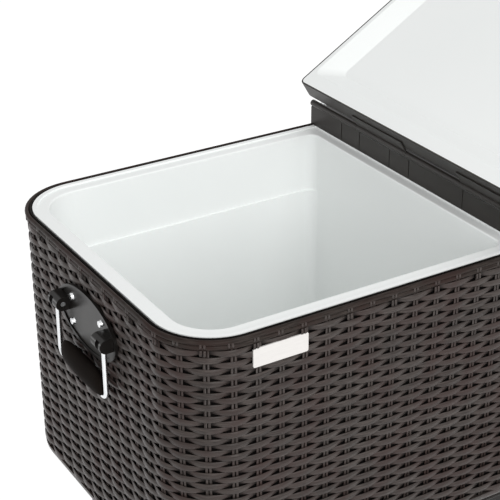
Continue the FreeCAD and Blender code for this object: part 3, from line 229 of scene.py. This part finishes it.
class Finish(Graph):
    """A material's tree on Object coordinates, ended by one Principled shader."""

    def __init__(self, name):
        self.material = bpy.data.materials.new(name)
        self.material.use_nodes = True
        super().__init__(self.material.node_tree)
        self.tree.nodes.clear()
        self.place = self.add("ShaderNodeTexCoord", out="Object")

    def stretched(self, x, y, z):
        return self.add("ShaderNodeMapping", {}, {"Vector": self.place, "Scale": (x, y, z)})

    def noise(self, scale, detail=2.0, roughness=0.5, vector=None):
        sockets = {"Vector": vector or self.place, "Scale": scale,
                   "Detail": detail, "Roughness": roughness}
        return self.add("ShaderNodeTexNoise", {}, sockets)

    def cells(self, scale):
        return self.add("ShaderNodeTexVoronoi", {}, {"Vector": self.place, "Scale": scale},
                        out="Distance")

    def ramp(self, value, *stops):
        return self.add("ShaderNodeValToRGB", {"stops": stops}, {"Fac": value})

    def axis(self, name):
        return self.add("ShaderNodeSeparateXYZ", {}, {0: self.place}, out=name)

    def blend(self, factor, low, high):
        return self.add("ShaderNodeMix", {"data_type": "RGBA"}, {0: factor, 6: low, 7: high}, out=2)

    def relief(self, height, depth, strength=1.0):
        return self.add("ShaderNodeBump", {},
                        {"Height": height, "Distance": depth, "Strength": strength})

    def shade(self, **sockets):
        named = {key.replace("_", " "): value for key, value in sockets.items()}
        shader = self.add("ShaderNodeBsdfPrincipled", {}, named)
        self.add("ShaderNodeOutputMaterial", {}, {"Surface": shader})
        return self.material


class Recipe(Graph):
    """A geometry tree with named inputs, grown once into a plain mesh for each set of values."""

    def __init__(self, name):
        super().__init__(bpy.data.node_groups.new(name, "GeometryNodeTree"))
        self.tree.interface.new_socket("Geometry", in_out="OUTPUT",
                                       socket_type="NodeSocketGeometry")
        self.source = self.tree.nodes.new("NodeGroupInput")
        self.identifiers = {}

    def size(self, name, kind="NodeSocketFloat"):
        socket = self.tree.interface.new_socket(name, in_out="INPUT", socket_type=kind)
        self.identifiers[name] = socket.identifier
        return Pin(self, self.source.outputs[name])

    def vector(self, x, y, z):
        return self.add("ShaderNodeCombineXYZ", {}, {"X": x, "Y": y, "Z": z})

    def vector_work(self, operation, **sockets):
        named = {"first": 0, "second": 1, "scale": "Scale"}
        return self.add("ShaderNodeVectorMath", {"operation": operation},
                        {named[key]: value for key, value in sockets.items()})

    def end(self, geometry):
        whole = self.add("GeometryNodeRealizeInstances", {}, {"Geometry": geometry})
        smooth = self.add("GeometryNodeSetShadeSmooth", {}, {"Geometry": whole})
        material = self.size("Material", "NodeSocketMaterial")
        painted = self.add("GeometryNodeSetMaterial", {},
                           {"Geometry": smooth, "Material": material})
        self.add("NodeGroupOutput", {}, {"Geometry": painted})

    def grow(self, name, values):
        piece = bpy.data.objects.new(name, bpy.data.meshes.new(name))
        bpy.context.scene.collection.objects.link(piece)
        modifier = piece.modifiers.new(self.tree.name, "NODES")
        modifier.node_group = self.tree
        for key, value in values.items():
            modifier[self.identifiers[key]] = value
        evaluated = piece.evaluated_get(bpy.context.evaluated_depsgraph_get())
        mesh = bpy.data.meshes.new_from_object(evaluated)
        piece.modifiers.clear()
        piece.data = mesh
        return piece


# Finishes

WEAVE_TONES = (display(31, 26, 24), display(62, 50, 47), display(86, 78, 74))
# Rim tones: a darker copy of the weave's, as painted shade on the rim.
SHADED_BORDER_TONES = (display(28, 24, 22), display(54, 43, 40), display(72, 65, 61))
# Inner rim tones, near-black: painted shade for the crevice beside the liner.
SHADED_INNER_TONES = (display(10, 9, 8), display(18, 15, 14), display(28, 25, 23))
WEAVE_GLOSS = 0.20
BORDER_GLOSS = 0.04
INNER_GLOSS = 0.02


def resin_strand(name, along_level, gloss, low, warm, high):
    """Extruded resin with drawn streaks along each strand, a tone for each course, a soft gloss,
    and painted shade where a strand passes behind a stake: a darker colour there, with a duller
    skin."""
    finish = Finish(name)
    fine, coarse = 1500.0, 70.0
    level, height = (coarse, fine) if along_level else (fine, coarse)
    streaks = finish.noise(1.0, 4.0, 0.65, finish.stretched(level, level, height))
    patches = finish.noise(26.0, 3.0)
    course = finish.work("FLOOR", finish.axis("Z") * (1 / STRAND_PITCH))
    tone = finish.add("ShaderNodeTexWhiteNoise", {"noise_dimensions": "1D"}, {"W": course})
    drawn = finish.ramp(streaks, (0.3, 0.0), (0.7, 1.0))
    body = finish.blend(drawn, low, high)
    patched = finish.blend(finish.ramp(patches, (0.42, 0.0), (0.62, 1.0)), body, warm)
    toned = finish.blend(0.35 * tone, patched, low)
    # Painted shade: the colour runs to near-black as a strand passes deeper behind a stake.
    recess = finish.add("ShaderNodeAttribute", {"attribute_name": RECESS}, out="Fac")
    painted_shade = finish.ramp(recess, (0.4, 0.0), (0.95, 0.85))
    colour = finish.blend(painted_shade, toned, display(7, 6, 6))
    return finish.shade(Base_Color=colour, Roughness=0.24 + 0.18 * streaks + 0.45 * painted_shade,
                        Specular_IOR_Level=gloss, Normal=finish.relief(streaks, 0.35 * MM, 0.6))


def shell_backing():
    """Wall behind the weave, near-black and darker than the strands: painted shade that shows
    through the gaps between them, with a faint mottle.
    """
    finish = Finish("shell_backing")
    shade_mottle = finish.noise(220.0, 3.0)
    return finish.shade(Base_Color=finish.blend(shade_mottle, display(6, 5, 5), display(14, 12, 11)),
                        Roughness=0.75 + 0.2 * shade_mottle, Specular_IOR_Level=0.1)


def painted_steel(name, low, high):
    """Powder coated sheet and tube: satin, with fine orange peel and slight clouding."""
    finish = Finish(name)
    peel = finish.noise(950.0, 2.0)
    cloud = finish.noise(9.0, 4.0)
    return finish.shade(Base_Color=finish.blend(cloud, low, high), Roughness=0.30 + 0.14 * cloud,
                        Specular_IOR_Level=0.22, Normal=finish.relief(peel, 0.12 * MM, 0.35))


def moulded_white():
    """Moulded white plastic with faint flow clouding and a very fine matt grain."""
    finish = Finish("white_plastic")
    flow = finish.noise(5.0, 4.0)
    grain = finish.noise(1400.0, 1.0)
    colour = finish.blend(flow, display(243, 246, 245), display(248, 250, 249))
    return finish.shade(Base_Color=colour, Roughness=0.34 + 0.10 * flow,
                        Normal=finish.relief(grain, 0.05 * MM, 0.25))


def bright_zinc():
    """Bright zinc plate with drawn lines and a faint crystal mottle."""
    finish = Finish("zinc_steel")
    lines = finish.noise(1.0, 3.0, 0.6, finish.stretched(900.0, 900.0, 90.0))
    mottle = finish.noise(160.0, 2.0)
    colour = finish.blend(mottle, display(206, 208, 210), display(233, 234, 235))
    return finish.shade(Base_Color=colour, Metallic=1.0, Roughness=0.16 + 0.16 * lines,
                        Normal=finish.relief(lines, 0.06 * MM, 0.3))


def cast_iron():
    """Black cast iron with a sandy skin and lighter worn patches."""
    finish = Finish("opener_iron")
    sand = finish.noise(620.0, 4.0, 0.65)
    wear = finish.ramp(finish.noise(70.0, 4.0), (0.52, 0.0), (0.72, 1.0))
    colour = finish.blend(wear, display(31, 30, 30), display(70, 68, 67))
    return finish.shade(Base_Color=colour, Metallic=0.35, Roughness=0.48 + 0.2 * sand,
                        Normal=finish.relief(sand, 0.4 * MM, 0.7))


def black_plastic():
    """Glossy black moulding with faint swirl and a little settled dust."""
    finish = Finish("black_plastic")
    swirl = finish.noise(60.0, 4.0)
    grain = finish.noise(1200.0, 2.0)
    return finish.shade(Base_Color=finish.blend(swirl, display(14, 12, 11), display(27, 24, 22)),
                        Roughness=0.26 + 0.12 * swirl, Specular_IOR_Level=0.25,
                        Normal=finish.relief(grain, 0.06 * MM, 0.3))


def grip_plastic():
    """Dull dark brown grip with a fine leather grain."""
    finish = Finish("grip_plastic")
    cells = finish.cells(700.0)
    wear = finish.noise(45.0, 4.0)
    return finish.shade(Base_Color=finish.blend(wear, display(15, 12, 10), display(28, 23, 20)),
                        Roughness=0.58 + 0.14 * wear, Specular_IOR_Level=0.02,
                        Normal=finish.relief(cells, 0.12 * MM, 0.4))


def grey_hub():
    """Mid grey nylon with moulding clouds."""
    finish = Finish("grey_hub_plastic")
    cloud = finish.noise(120.0, 3.0)
    colour = finish.blend(cloud, display(120, 121, 122), display(146, 147, 148))
    return finish.shade(Base_Color=colour, Roughness=0.42 + 0.12 * cloud,
                        Normal=finish.relief(cloud, 0.1 * MM, 0.3))


def tyre_rubber():
    """Black rubber with scuffs from rolling."""
    finish = Finish("caster_rubber")
    scuff = finish.noise(180.0, 5.0, 0.7)
    return finish.shade(Base_Color=finish.blend(scuff, display(26, 26, 27), display(62, 61, 60)),
                        Roughness=0.62 + 0.2 * scuff, Normal=finish.relief(scuff, 0.25 * MM, 0.5))


def insulation_foam():
    """Cream foam with open cells."""
    finish = Finish("foam")
    cells = finish.cells(420.0)
    colour = finish.blend(cells, display(214, 203, 170), display(238, 230, 204))
    return finish.shade(Base_Color=colour, Roughness=0.95,
                        Normal=finish.relief(cells, 0.8 * MM, 0.6))


def bare_badge():
    """White lacquered plate with fine rolling lines."""
    finish = Finish("badge_white")
    lines = finish.noise(1.0, 3.0, 0.6, finish.stretched(60.0, 60.0, 1300.0))
    colour = finish.blend(lines, display(216, 213, 210), display(229, 226, 223))
    return finish.shade(Base_Color=colour, Roughness=0.26 + 0.12 * lines,
                        Normal=finish.relief(lines, 0.05 * MM, 0.3))


def make_finishes():
    """One finish for each material slot of the record."""
    charcoal = (display(38, 35, 33), display(50, 46, 43))
    sheet = (display(31, 28, 26), display(42, 39, 36))
    return {
        "resin_wicker": resin_strand("resin_wicker", True, WEAVE_GLOSS, *WEAVE_TONES),
        "dark_painted_steel": painted_steel("dark_painted_steel", *charcoal),
        "white_plastic": moulded_white(),
        "foam": insulation_foam(),
        "zinc_steel": bright_zinc(),
        "opener_iron": cast_iron(),
        "dark_steel_sheet": painted_steel("dark_steel_sheet", *sheet),
        "black_plastic": black_plastic(),
        "grey_hub_plastic": grey_hub(),
        "caster_rubber": tyre_rubber(),
        "badge_white": bare_badge(),
    }


def dress_nodes(finishes):
    """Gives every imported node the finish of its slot."""
    for subpart in frame["record"]["subparts"]:
        node = frame["nodes"][subpart["node"]]
        for material_slot in node.material_slots:
            material_slot.material = finishes[subpart["material_slot"]]


# Hand grips

def grip_recipe():
    """Oval bar along Y, thinned to its ends: level above the wire, bowed below it."""
    recipe = Recipe("hand_grip")
    axle = recipe.size("Axle", "NodeSocketVector")
    half = recipe.size("Half length")
    above = recipe.size("Above")
    below = recipe.size("Below")
    depth = recipe.size("Depth")
    end_below = recipe.size("End below")
    end_depth = recipe.size("End depth")
    line = recipe.add("GeometryNodeCurvePrimitiveLine", {},
                      {"Start": recipe.vector(0, 0 - half, 0), "End": recipe.vector(0, half, 0)})
    rings = recipe.add("GeometryNodeResampleCurve", {}, {"Curve": line, "Count": GRIP_RINGS})
    upright = recipe.add("GeometryNodeSetCurveNormal", {"mode": "Z_UP"}, {"Curve": rings})
    circle = recipe.add("GeometryNodeCurvePrimitiveCircle", {"mode": "RADIUS"},
                        {"Resolution": GRIP_SIDES, "Radius": 0.5})
    oval = recipe.add("GeometryNodeTransform", {}, {
        "Geometry": circle, "Scale": recipe.vector(depth, above + below, 1),
        "Translation": recipe.vector(0, (above - below) * 0.5, 0)})
    bar = recipe.add("GeometryNodeCurveToMesh", {}, {"Curve": upright, "Profile Curve": oval})
    place = recipe.add("GeometryNodeInputPosition")
    x, y, z = (recipe.add("ShaderNodeSeparateXYZ", {}, {0: place}, out=name) for name in "XYZ")
    along = y / half
    bow = 1 - along * along
    fourth = along * along * along * along
    end = recipe.work("SQRT", 1 - fourth * fourth)
    high = recipe.work("MAXIMUM", z, 0.0)
    low = recipe.work("MINIMUM", z, 0.0)
    shaped = recipe.vector(x * end * (end_depth + (1 - end_depth) * bow), y,
                           end * (high + low * (end_below + (1 - end_below) * bow)))
    moved = recipe.vector_work("ADD", first=shaped, second=axle)
    body = recipe.add("GeometryNodeSetPosition", {}, {"Geometry": bar, "Position": moved})
    recipe.end(recipe.add("GeometryNodeMergeByDistance", {},
                          {"Geometry": body, "Distance": GRIP_MERGE}))
    return recipe


def mould_grips():
    """Hand grips on the handles' bodies, in place of the frame's plain ones."""
    recipe = grip_recipe()
    finish = grip_plastic()
    for node, wire, body in GRIPS:
        low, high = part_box(node)
        wire_low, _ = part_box(wire)
        axle = Vector(((low.x + high.x) / 2, 0, wire_low.z + BAIL_RADIUS))
        piece = recipe.grow(f"{node}_moulding", {
            "Axle": axle, "Half length": (high.y - low.y) / 2 + GRIP_STRETCH,
            "Above": GRIP_ABOVE, "Below": GRIP_BELOW, "Depth": high.x - low.x,
            "End below": GRIP_END_BELOW, "End depth": GRIP_END_DEPTH, "Material": finish})
        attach(piece, body)
        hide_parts(node)


# Woven shell

def shell_piece(piece):
    """A piece of the woven shell, which stands for the plain wall of the frame."""
    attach(piece, "root")
    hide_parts("wicker_shell")


def shell_path(recipe):
    """Level path round the box, drawn in from the rim's outer edge, with evenly spaced points."""
    width = recipe.size("Width")
    depth = recipe.size("Depth")
    corner = recipe.size("Corner")
    inset = recipe.size("Inset")
    points = recipe.size("Path points", "NodeSocketInt")
    plan = recipe.add("GeometryNodeCurvePrimitiveQuadrilateral", {},
                      {"Width": width - 2 * inset, "Height": depth - 2 * inset})
    rounded = recipe.add("GeometryNodeFilletCurve", {"mode": "POLY"},
                         {"Curve": plan, "Count": PATH_CORNER_STEPS, "Radius": corner - inset})
    even = recipe.add("GeometryNodeResampleCurve", {}, {"Curve": rounded, "Count": points})
    return recipe.add("GeometryNodeSetCurveNormal", {"mode": "Z_UP"}, {"Curve": even})


def strand_section(recipe, across, up):
    """Flat section, its edges rounded by a share of its thickness."""
    flat = recipe.add("GeometryNodeCurvePrimitiveQuadrilateral", {},
                      {"Width": across, "Height": up})
    return recipe.add("GeometryNodeFilletCurve", {"mode": "POLY"},
                      {"Curve": flat, "Count": 1, "Radius": STRAND_EDGE * across})


def path_values(inset, points=PATH_POINTS):
    """Inputs of a path round the box, by its inset from the rim's outer edge."""
    return {"Width": 2 * RIM_HALF_X, "Depth": 2 * RIM_HALF_Y, "Corner": RIM_CORNER,
            "Inset": inset, "Path points": points}


def stake_values():
    """Inputs that place the stakes on a path."""
    return {"Steps per stake": float(STEPS_PER_STAKE), "Stake shift": float(STAKE_SHIFT)}


def rim_level(name):
    """Height of a rim strand's middle."""
    _, drop, _, _ = RIM_STRANDS[name]
    return RIM_TOP - drop


def courses_recipe():
    """Strands that swing in front of and behind the stakes, every second course the other way."""
    recipe = Recipe("woven_courses")
    path = shell_path(recipe)
    steps = recipe.size("Steps per stake")
    shift = recipe.size("Stake shift")
    swing = recipe.size("Swing")
    spread = recipe.size("Spread")
    lift = recipe.size("Lift")
    section = strand_section(recipe, recipe.size("Strand thickness"), recipe.size("Strand height"))
    pitch = recipe.size("Pitch")
    top = recipe.size("Top height")
    pairs = recipe.size("Course pairs", "NodeSocketInt")
    wander = recipe.size("Wander")
    index = recipe.add("GeometryNodeInputIndex")
    tangent = recipe.add("GeometryNodeInputTangent")
    outward = recipe.vector_work("CROSS_PRODUCT", first=tangent, second=(0, 0, 1))
    wave = recipe.work("COSINE", math.pi * (index + shift) / steps)
    groups = []
    for side in (1, -1):
        level = wave * side
        behind = recipe.work("MAXIMUM", 0 - level, 0.0)
        sideways = recipe.vector_work("SCALE", first=outward, scale=level * swing)
        raised = recipe.vector(0, 0, behind * lift)
        offset = recipe.vector_work("ADD", first=sideways, second=raised)
        swung = recipe.add("GeometryNodeSetPosition", {}, {"Geometry": path, "Offset": offset})
        # How far each point lies behind the stakes, from which the strand's finish paints shade.
        marked = recipe.add("GeometryNodeStoreNamedAttribute",
                            {"data_type": "FLOAT", "domain": "POINT"},
                            {"Geometry": swung, "Name": RECESS, "Value": behind})
        strand = recipe.add("GeometryNodeCurveToMesh", {}, {
            "Curve": marked, "Profile Curve": section, "Scale": 1 + level * spread})
        first = top if side > 0 else top - pitch
        places = recipe.add("GeometryNodeMeshLine", {"mode": "OFFSET"},
                            {"Count": pairs, "Start Location": recipe.vector(0, 0, first),
                             "Offset": recipe.vector(0, 0, -2 * pitch)})
        groups.append(recipe.add("GeometryNodeInstanceOnPoints", {},
                                 {"Points": places, "Instance": strand}))
    joined = recipe.add("GeometryNodeJoinGeometry", {}, {"Geometry": groups})
    whole = recipe.add("GeometryNodeRealizeInstances", {}, {"Geometry": joined})
    place = recipe.add("GeometryNodeInputPosition")
    drift = recipe.add("ShaderNodeTexNoise", {},
                       {"Vector": place, "Scale": WANDER_SCALE, "Detail": 1.0})
    stray = recipe.vector(0, 0, (drift - 0.5) * wander)
    recipe.end(recipe.add("GeometryNodeSetPosition", {}, {"Geometry": whole, "Offset": stray}))
    return recipe


def ribs_recipe():
    """Pairs of upright ribs at the stakes of a path, on every stake or on every second one."""
    recipe = Recipe("stake_ribs")
    path = shell_path(recipe)
    steps = recipe.size("Steps per stake")
    shift = recipe.size("Stake shift")
    every = recipe.size("Every")
    first = recipe.size("First stake")
    low = recipe.size("Low")
    high = recipe.size("High")
    width = recipe.size("Rib width")
    depth = recipe.size("Rib depth")
    spacing = recipe.size("Rib spacing")
    index = recipe.add("GeometryNodeInputIndex")
    chosen = ((index + shift + steps * first) % (steps * every)) < 0.5
    turn = recipe.add("FunctionNodeAlignRotationToVector", {"axis": "X"},
                      {"Vector": recipe.add("GeometryNodeInputTangent")})
    bar = recipe.add("GeometryNodeMeshCylinder", {"fill_type": "NGON"},
                     {"Vertices": RIB_SIDES, "Radius": 0.5, "Depth": 1.0}, out="Mesh")
    ribs = []
    for side in (1, -1):
        ribs.append(recipe.add("GeometryNodeTransform", {}, {
            "Geometry": bar, "Scale": recipe.vector(width, depth, high - low),
            "Translation": recipe.vector(spacing * (0.5 * side), 0, (high + low) * 0.5)}))
    pair = recipe.add("GeometryNodeJoinGeometry", {}, {"Geometry": ribs})
    recipe.end(recipe.add("GeometryNodeInstanceOnPoints", {}, {
        "Points": path, "Selection": chosen, "Instance": pair, "Rotation": turn}))
    return recipe


def border_recipe():
    """One smooth strand swept round the box."""
    recipe = Recipe("border_strand")
    path = shell_path(recipe)
    section = recipe.add("GeometryNodeCurvePrimitiveCircle", {"mode": "RADIUS"},
                         {"Resolution": RIM_SIDES, "Radius": 0.5})
    scale = recipe.vector(recipe.size("Strand width"), recipe.size("Strand height"), 1.0)
    oval = recipe.add("GeometryNodeTransform", {}, {"Geometry": section, "Scale": scale})
    level = recipe.vector(0, 0, recipe.size("Height"))
    lifted = recipe.add("GeometryNodeSetPosition", {}, {"Geometry": path, "Offset": level})
    recipe.end(recipe.add("GeometryNodeCurveToMesh", {}, {"Curve": lifted, "Profile Curve": oval}))
    return recipe


def plan_points(inset, z):
    """Rounded outline of the box at one height, drawn in from the rim's outer edge."""
    corner = RIM_CORNER - inset
    points = []
    for quarter, (x, y) in enumerate(((1, 1), (-1, 1), (-1, -1), (1, -1))):
        for step in range(CORNER_STEPS + 1):
            angle = math.pi / 2 * (quarter + step / CORNER_STEPS)
            points.append((x * (RIM_HALF_X - RIM_CORNER) + corner * math.cos(angle),
                           y * (RIM_HALF_Y - RIM_CORNER) + corner * math.sin(angle), z))
    return points


def ring_mesh(name, section, material):
    """Closed ring round the box; section lists (inset, height) in order round the ring's cut."""
    mesh = bmesh.new()
    loops = [[mesh.verts.new(point) for point in plan_points(inset, z)] for inset, z in section]
    for near, far in zip(loops, loops[1:] + loops[:1]):
        for k, corner in enumerate(near):
            nxt = (k + 1) % len(near)
            mesh.faces.new((corner, near[nxt], far[nxt], far[k]))
    bmesh.ops.recalc_face_normals(mesh, faces=mesh.faces)
    for face in mesh.faces:
        face.smooth = True
    piece = bpy.data.objects.new(name, bpy.data.meshes.new(name))
    mesh.to_mesh(piece.data)
    mesh.free()
    piece.data.set_sharp_from_angle(angle=SHARP_EDGE)
    piece.data.materials.append(material)
    bpy.context.scene.collection.objects.link(piece)
    return piece


def foot_section():
    """Cut through the turned-in foot: wall face, rounded edge, underside, then back over it."""
    top = SHELL_BOTTOM + FOOT_TOP
    cut = [(WALL_INSET, top)]
    for step in range(FOOT_ARC_STEPS + 1):
        angle = math.pi / 2 * step / FOOT_ARC_STEPS
        cut.append((WALL_INSET + FOOT_ROUND * (1 - math.cos(angle)),
                    SHELL_BOTTOM + FOOT_ROUND * (1 - math.sin(angle))))
    cut.append((FOOT_REACH, SHELL_BOTTOM))
    cut.append((FOOT_REACH, SHELL_BOTTOM + FOOT_WALL))
    cut.append((WALL_INSET + FOOT_WALL + FOOT_ROUND, SHELL_BOTTOM + FOOT_WALL))
    cut.append((BACKING_INSET, top))
    return cut


def backing_section():
    """Cut through the thin wall behind the weave."""
    inner = BACKING_INSET + BACKING_THICK
    top = rim_level("rim_inner_strand")
    bottom = SHELL_BOTTOM + FOOT_WALL
    return [(BACKING_INSET, top), (BACKING_INSET, bottom), (inner, bottom), (inner, top)]


def lay_courses(resin):
    """Woven courses from the rim down to the foot."""
    courses = courses_recipe()
    for name, row, pairs in COURSE_GROUPS:
        shell_piece(courses.grow(name, {
            **path_values(STRAND_INSET), **stake_values(), "Swing": STRAND_SWING,
            "Spread": STRAND_SPREAD, "Lift": STRAND_LIFT, "Strand thickness": STRAND_THICK,
            "Strand height": STRAND_HEIGHT, "Pitch": STRAND_PITCH,
            "Top height": TOP_STRAND - row * STRAND_PITCH, "Course pairs": pairs,
            "Wander": STRAND_WANDER, "Material": resin}))


def set_stakes(resin):
    """Stakes from the foot up into the rim, and the ticks over the rim."""
    ribs = ribs_recipe()
    rib_values = {**stake_values(), "Rib width": RIB_WIDTH, "Rib depth": RIB_DEPTH,
                  "Rib spacing": RIB_SPACING, "Material": resin}
    shell_piece(ribs.grow("stakes", {
        **path_values(STAKE_INSET), **rib_values, "Every": 1.0, "First stake": 0.0,
        "Low": SHELL_BOTTOM + FOOT_TOP - FOOT_WALL, "High": rim_level("rim_lower_strand")}))
    for name, (every, drop_low, drop_high) in RIM_TICKS.items():
        shell_piece(ribs.grow(name, {
            **path_values(TICK_INSET), **rib_values, "Every": float(every),
            "First stake": float(TICK_FIRST_STAKE),
            "Low": RIM_TOP - drop_low, "High": RIM_TOP - drop_high}))


def lay_rim(shaded_inner_resin, shaded_border_resin):
    """The rim's strands, the inner one darker than the rest as painted shade for the crevice beside
    the liner.
    """
    # The outer rim strands take a darker copy of the weave's finish: painted shade on the rim.
    border = border_recipe()
    for name, (inset, _, width, height) in RIM_STRANDS.items():
        resin = shaded_inner_resin if name == "rim_inner_strand" else shaded_border_resin
        shell_piece(border.grow(name, {
            **path_values(inset, PATH_POINTS // 2), "Strand width": width,
            "Strand height": height, "Height": rim_level(name), "Material": resin}))


def weave_shell(finishes):
    """The woven shell: courses, stakes, rim, backing and foot."""
    strand = finishes["resin_wicker"]
    lay_courses(strand)
    set_stakes(resin_strand("resin_stake", False, WEAVE_GLOSS, *WEAVE_TONES))
    lay_rim(resin_strand("resin_inner_border", True, INNER_GLOSS, *SHADED_INNER_TONES),
            resin_strand("resin_border", True, BORDER_GLOSS, *SHADED_BORDER_TONES))
    # The backing's near-black colour is painted shade in the gaps of the weave.
    shell_piece(ring_mesh("shell_backing", backing_section(), shell_backing()))
    shell_piece(ring_mesh("shell_foot", foot_section(), strand))


# Studio

def studio_floor():
    """Pale floor that keeps the cart's shadow and reads as white to the camera and to gloss."""
    finish = Finish("studio_floor")
    mottle = finish.noise(3.0, 3.0)
    pale = finish.add("ShaderNodeBsdfDiffuse", {}, {
        "Color": finish.blend(mottle, display(236, 236, 236), display(240, 240, 240))})
    glow = finish.add("ShaderNodeEmission", {}, {"Color": WHITE, "Strength": FLOOR_GLOW})
    shown = finish.add("ShaderNodeMixShader", {}, {0: finish.seen(), 2: glow})
    lifted = finish.add("ShaderNodeAddShader", {}, {0: pale, 1: shown})
    finish.add("ShaderNodeOutputMaterial", {}, {"Surface": lifted})
    return finish.material


def studio_world():
    """Sky that lights at a plain level and reads as white to the camera and to gloss."""
    world = bpy.data.worlds.new("studio")
    world.use_nodes = True
    graph = Graph(world.node_tree)
    graph.tree.nodes.clear()
    strength = AMBIENT + (1 - AMBIENT) * graph.seen()
    sky = graph.add("ShaderNodeBackground", {}, {"Color": WHITE, "Strength": strength})
    graph.add("ShaderNodeOutputWorld", {}, {"Surface": sky})
    bpy.context.scene.world = world


def aim(place, target):
    """Rotation that points a lamp's -Z from its place at the target."""
    return (Vector(target) - Vector(place)).to_track_quat("-Z", "Y").to_euler()


def set_stage():
    """Sky, floor and lamps."""
    studio_world()
    floor = bpy.data.objects.new("floor", bpy.data.meshes.new("floor"))
    corners = [(x * FLOOR_HALF, y * FLOOR_HALF, 0) for x, y in ((-1, -1), (1, -1), (1, 1), (-1, 1))]
    floor.data.from_pydata(corners, [], [(0, 1, 2, 3)])
    floor.data.materials.append(studio_floor())
    bpy.context.scene.collection.objects.link(floor)
    for name, (place, target, side, power) in LAMPS.items():
        lamp = bpy.data.lights.new(name, "AREA")
        lamp.size = side
        lamp.energy = power
        holder = bpy.data.objects.new(name, lamp)
        holder.location = place
        holder.rotation_euler = aim(place, target)
        bpy.context.scene.collection.objects.link(holder)


def set_camera():
    """Camera at the photograph's place, with the image taken as a square of IMAGE_SIZE pixels."""
    forward = Vector((math.sin(CAMERA_YAW) * math.cos(CAMERA_PITCH),
                      math.cos(CAMERA_YAW) * math.cos(CAMERA_PITCH), -math.sin(CAMERA_PITCH)))
    level = Vector((math.cos(CAMERA_YAW), -math.sin(CAMERA_YAW), 0))
    down = forward.cross(level)
    right = level * math.cos(CAMERA_ROLL) + down * math.sin(CAMERA_ROLL)
    back = -forward
    up = back.cross(right)
    lens = bpy.data.cameras.new("photo_camera")
    lens.sensor_width = SENSOR
    lens.lens = FOCAL_PIXELS / IMAGE_SIZE * SENSOR
    camera = bpy.data.objects.new("photo_camera", lens)
    turn = Matrix((right, up, back)).transposed().to_4x4()
    camera.matrix_world = Matrix.Translation(CAMERA_PLACE) @ turn
    bpy.context.scene.collection.objects.link(camera)
    bpy.context.scene.camera = camera


finishes = make_finishes()
dress_nodes(finishes)
mould_grips()
weave_shell(finishes)
set_stage()
set_camera()
bpy.context.scene.view_settings.view_transform = "Standard"
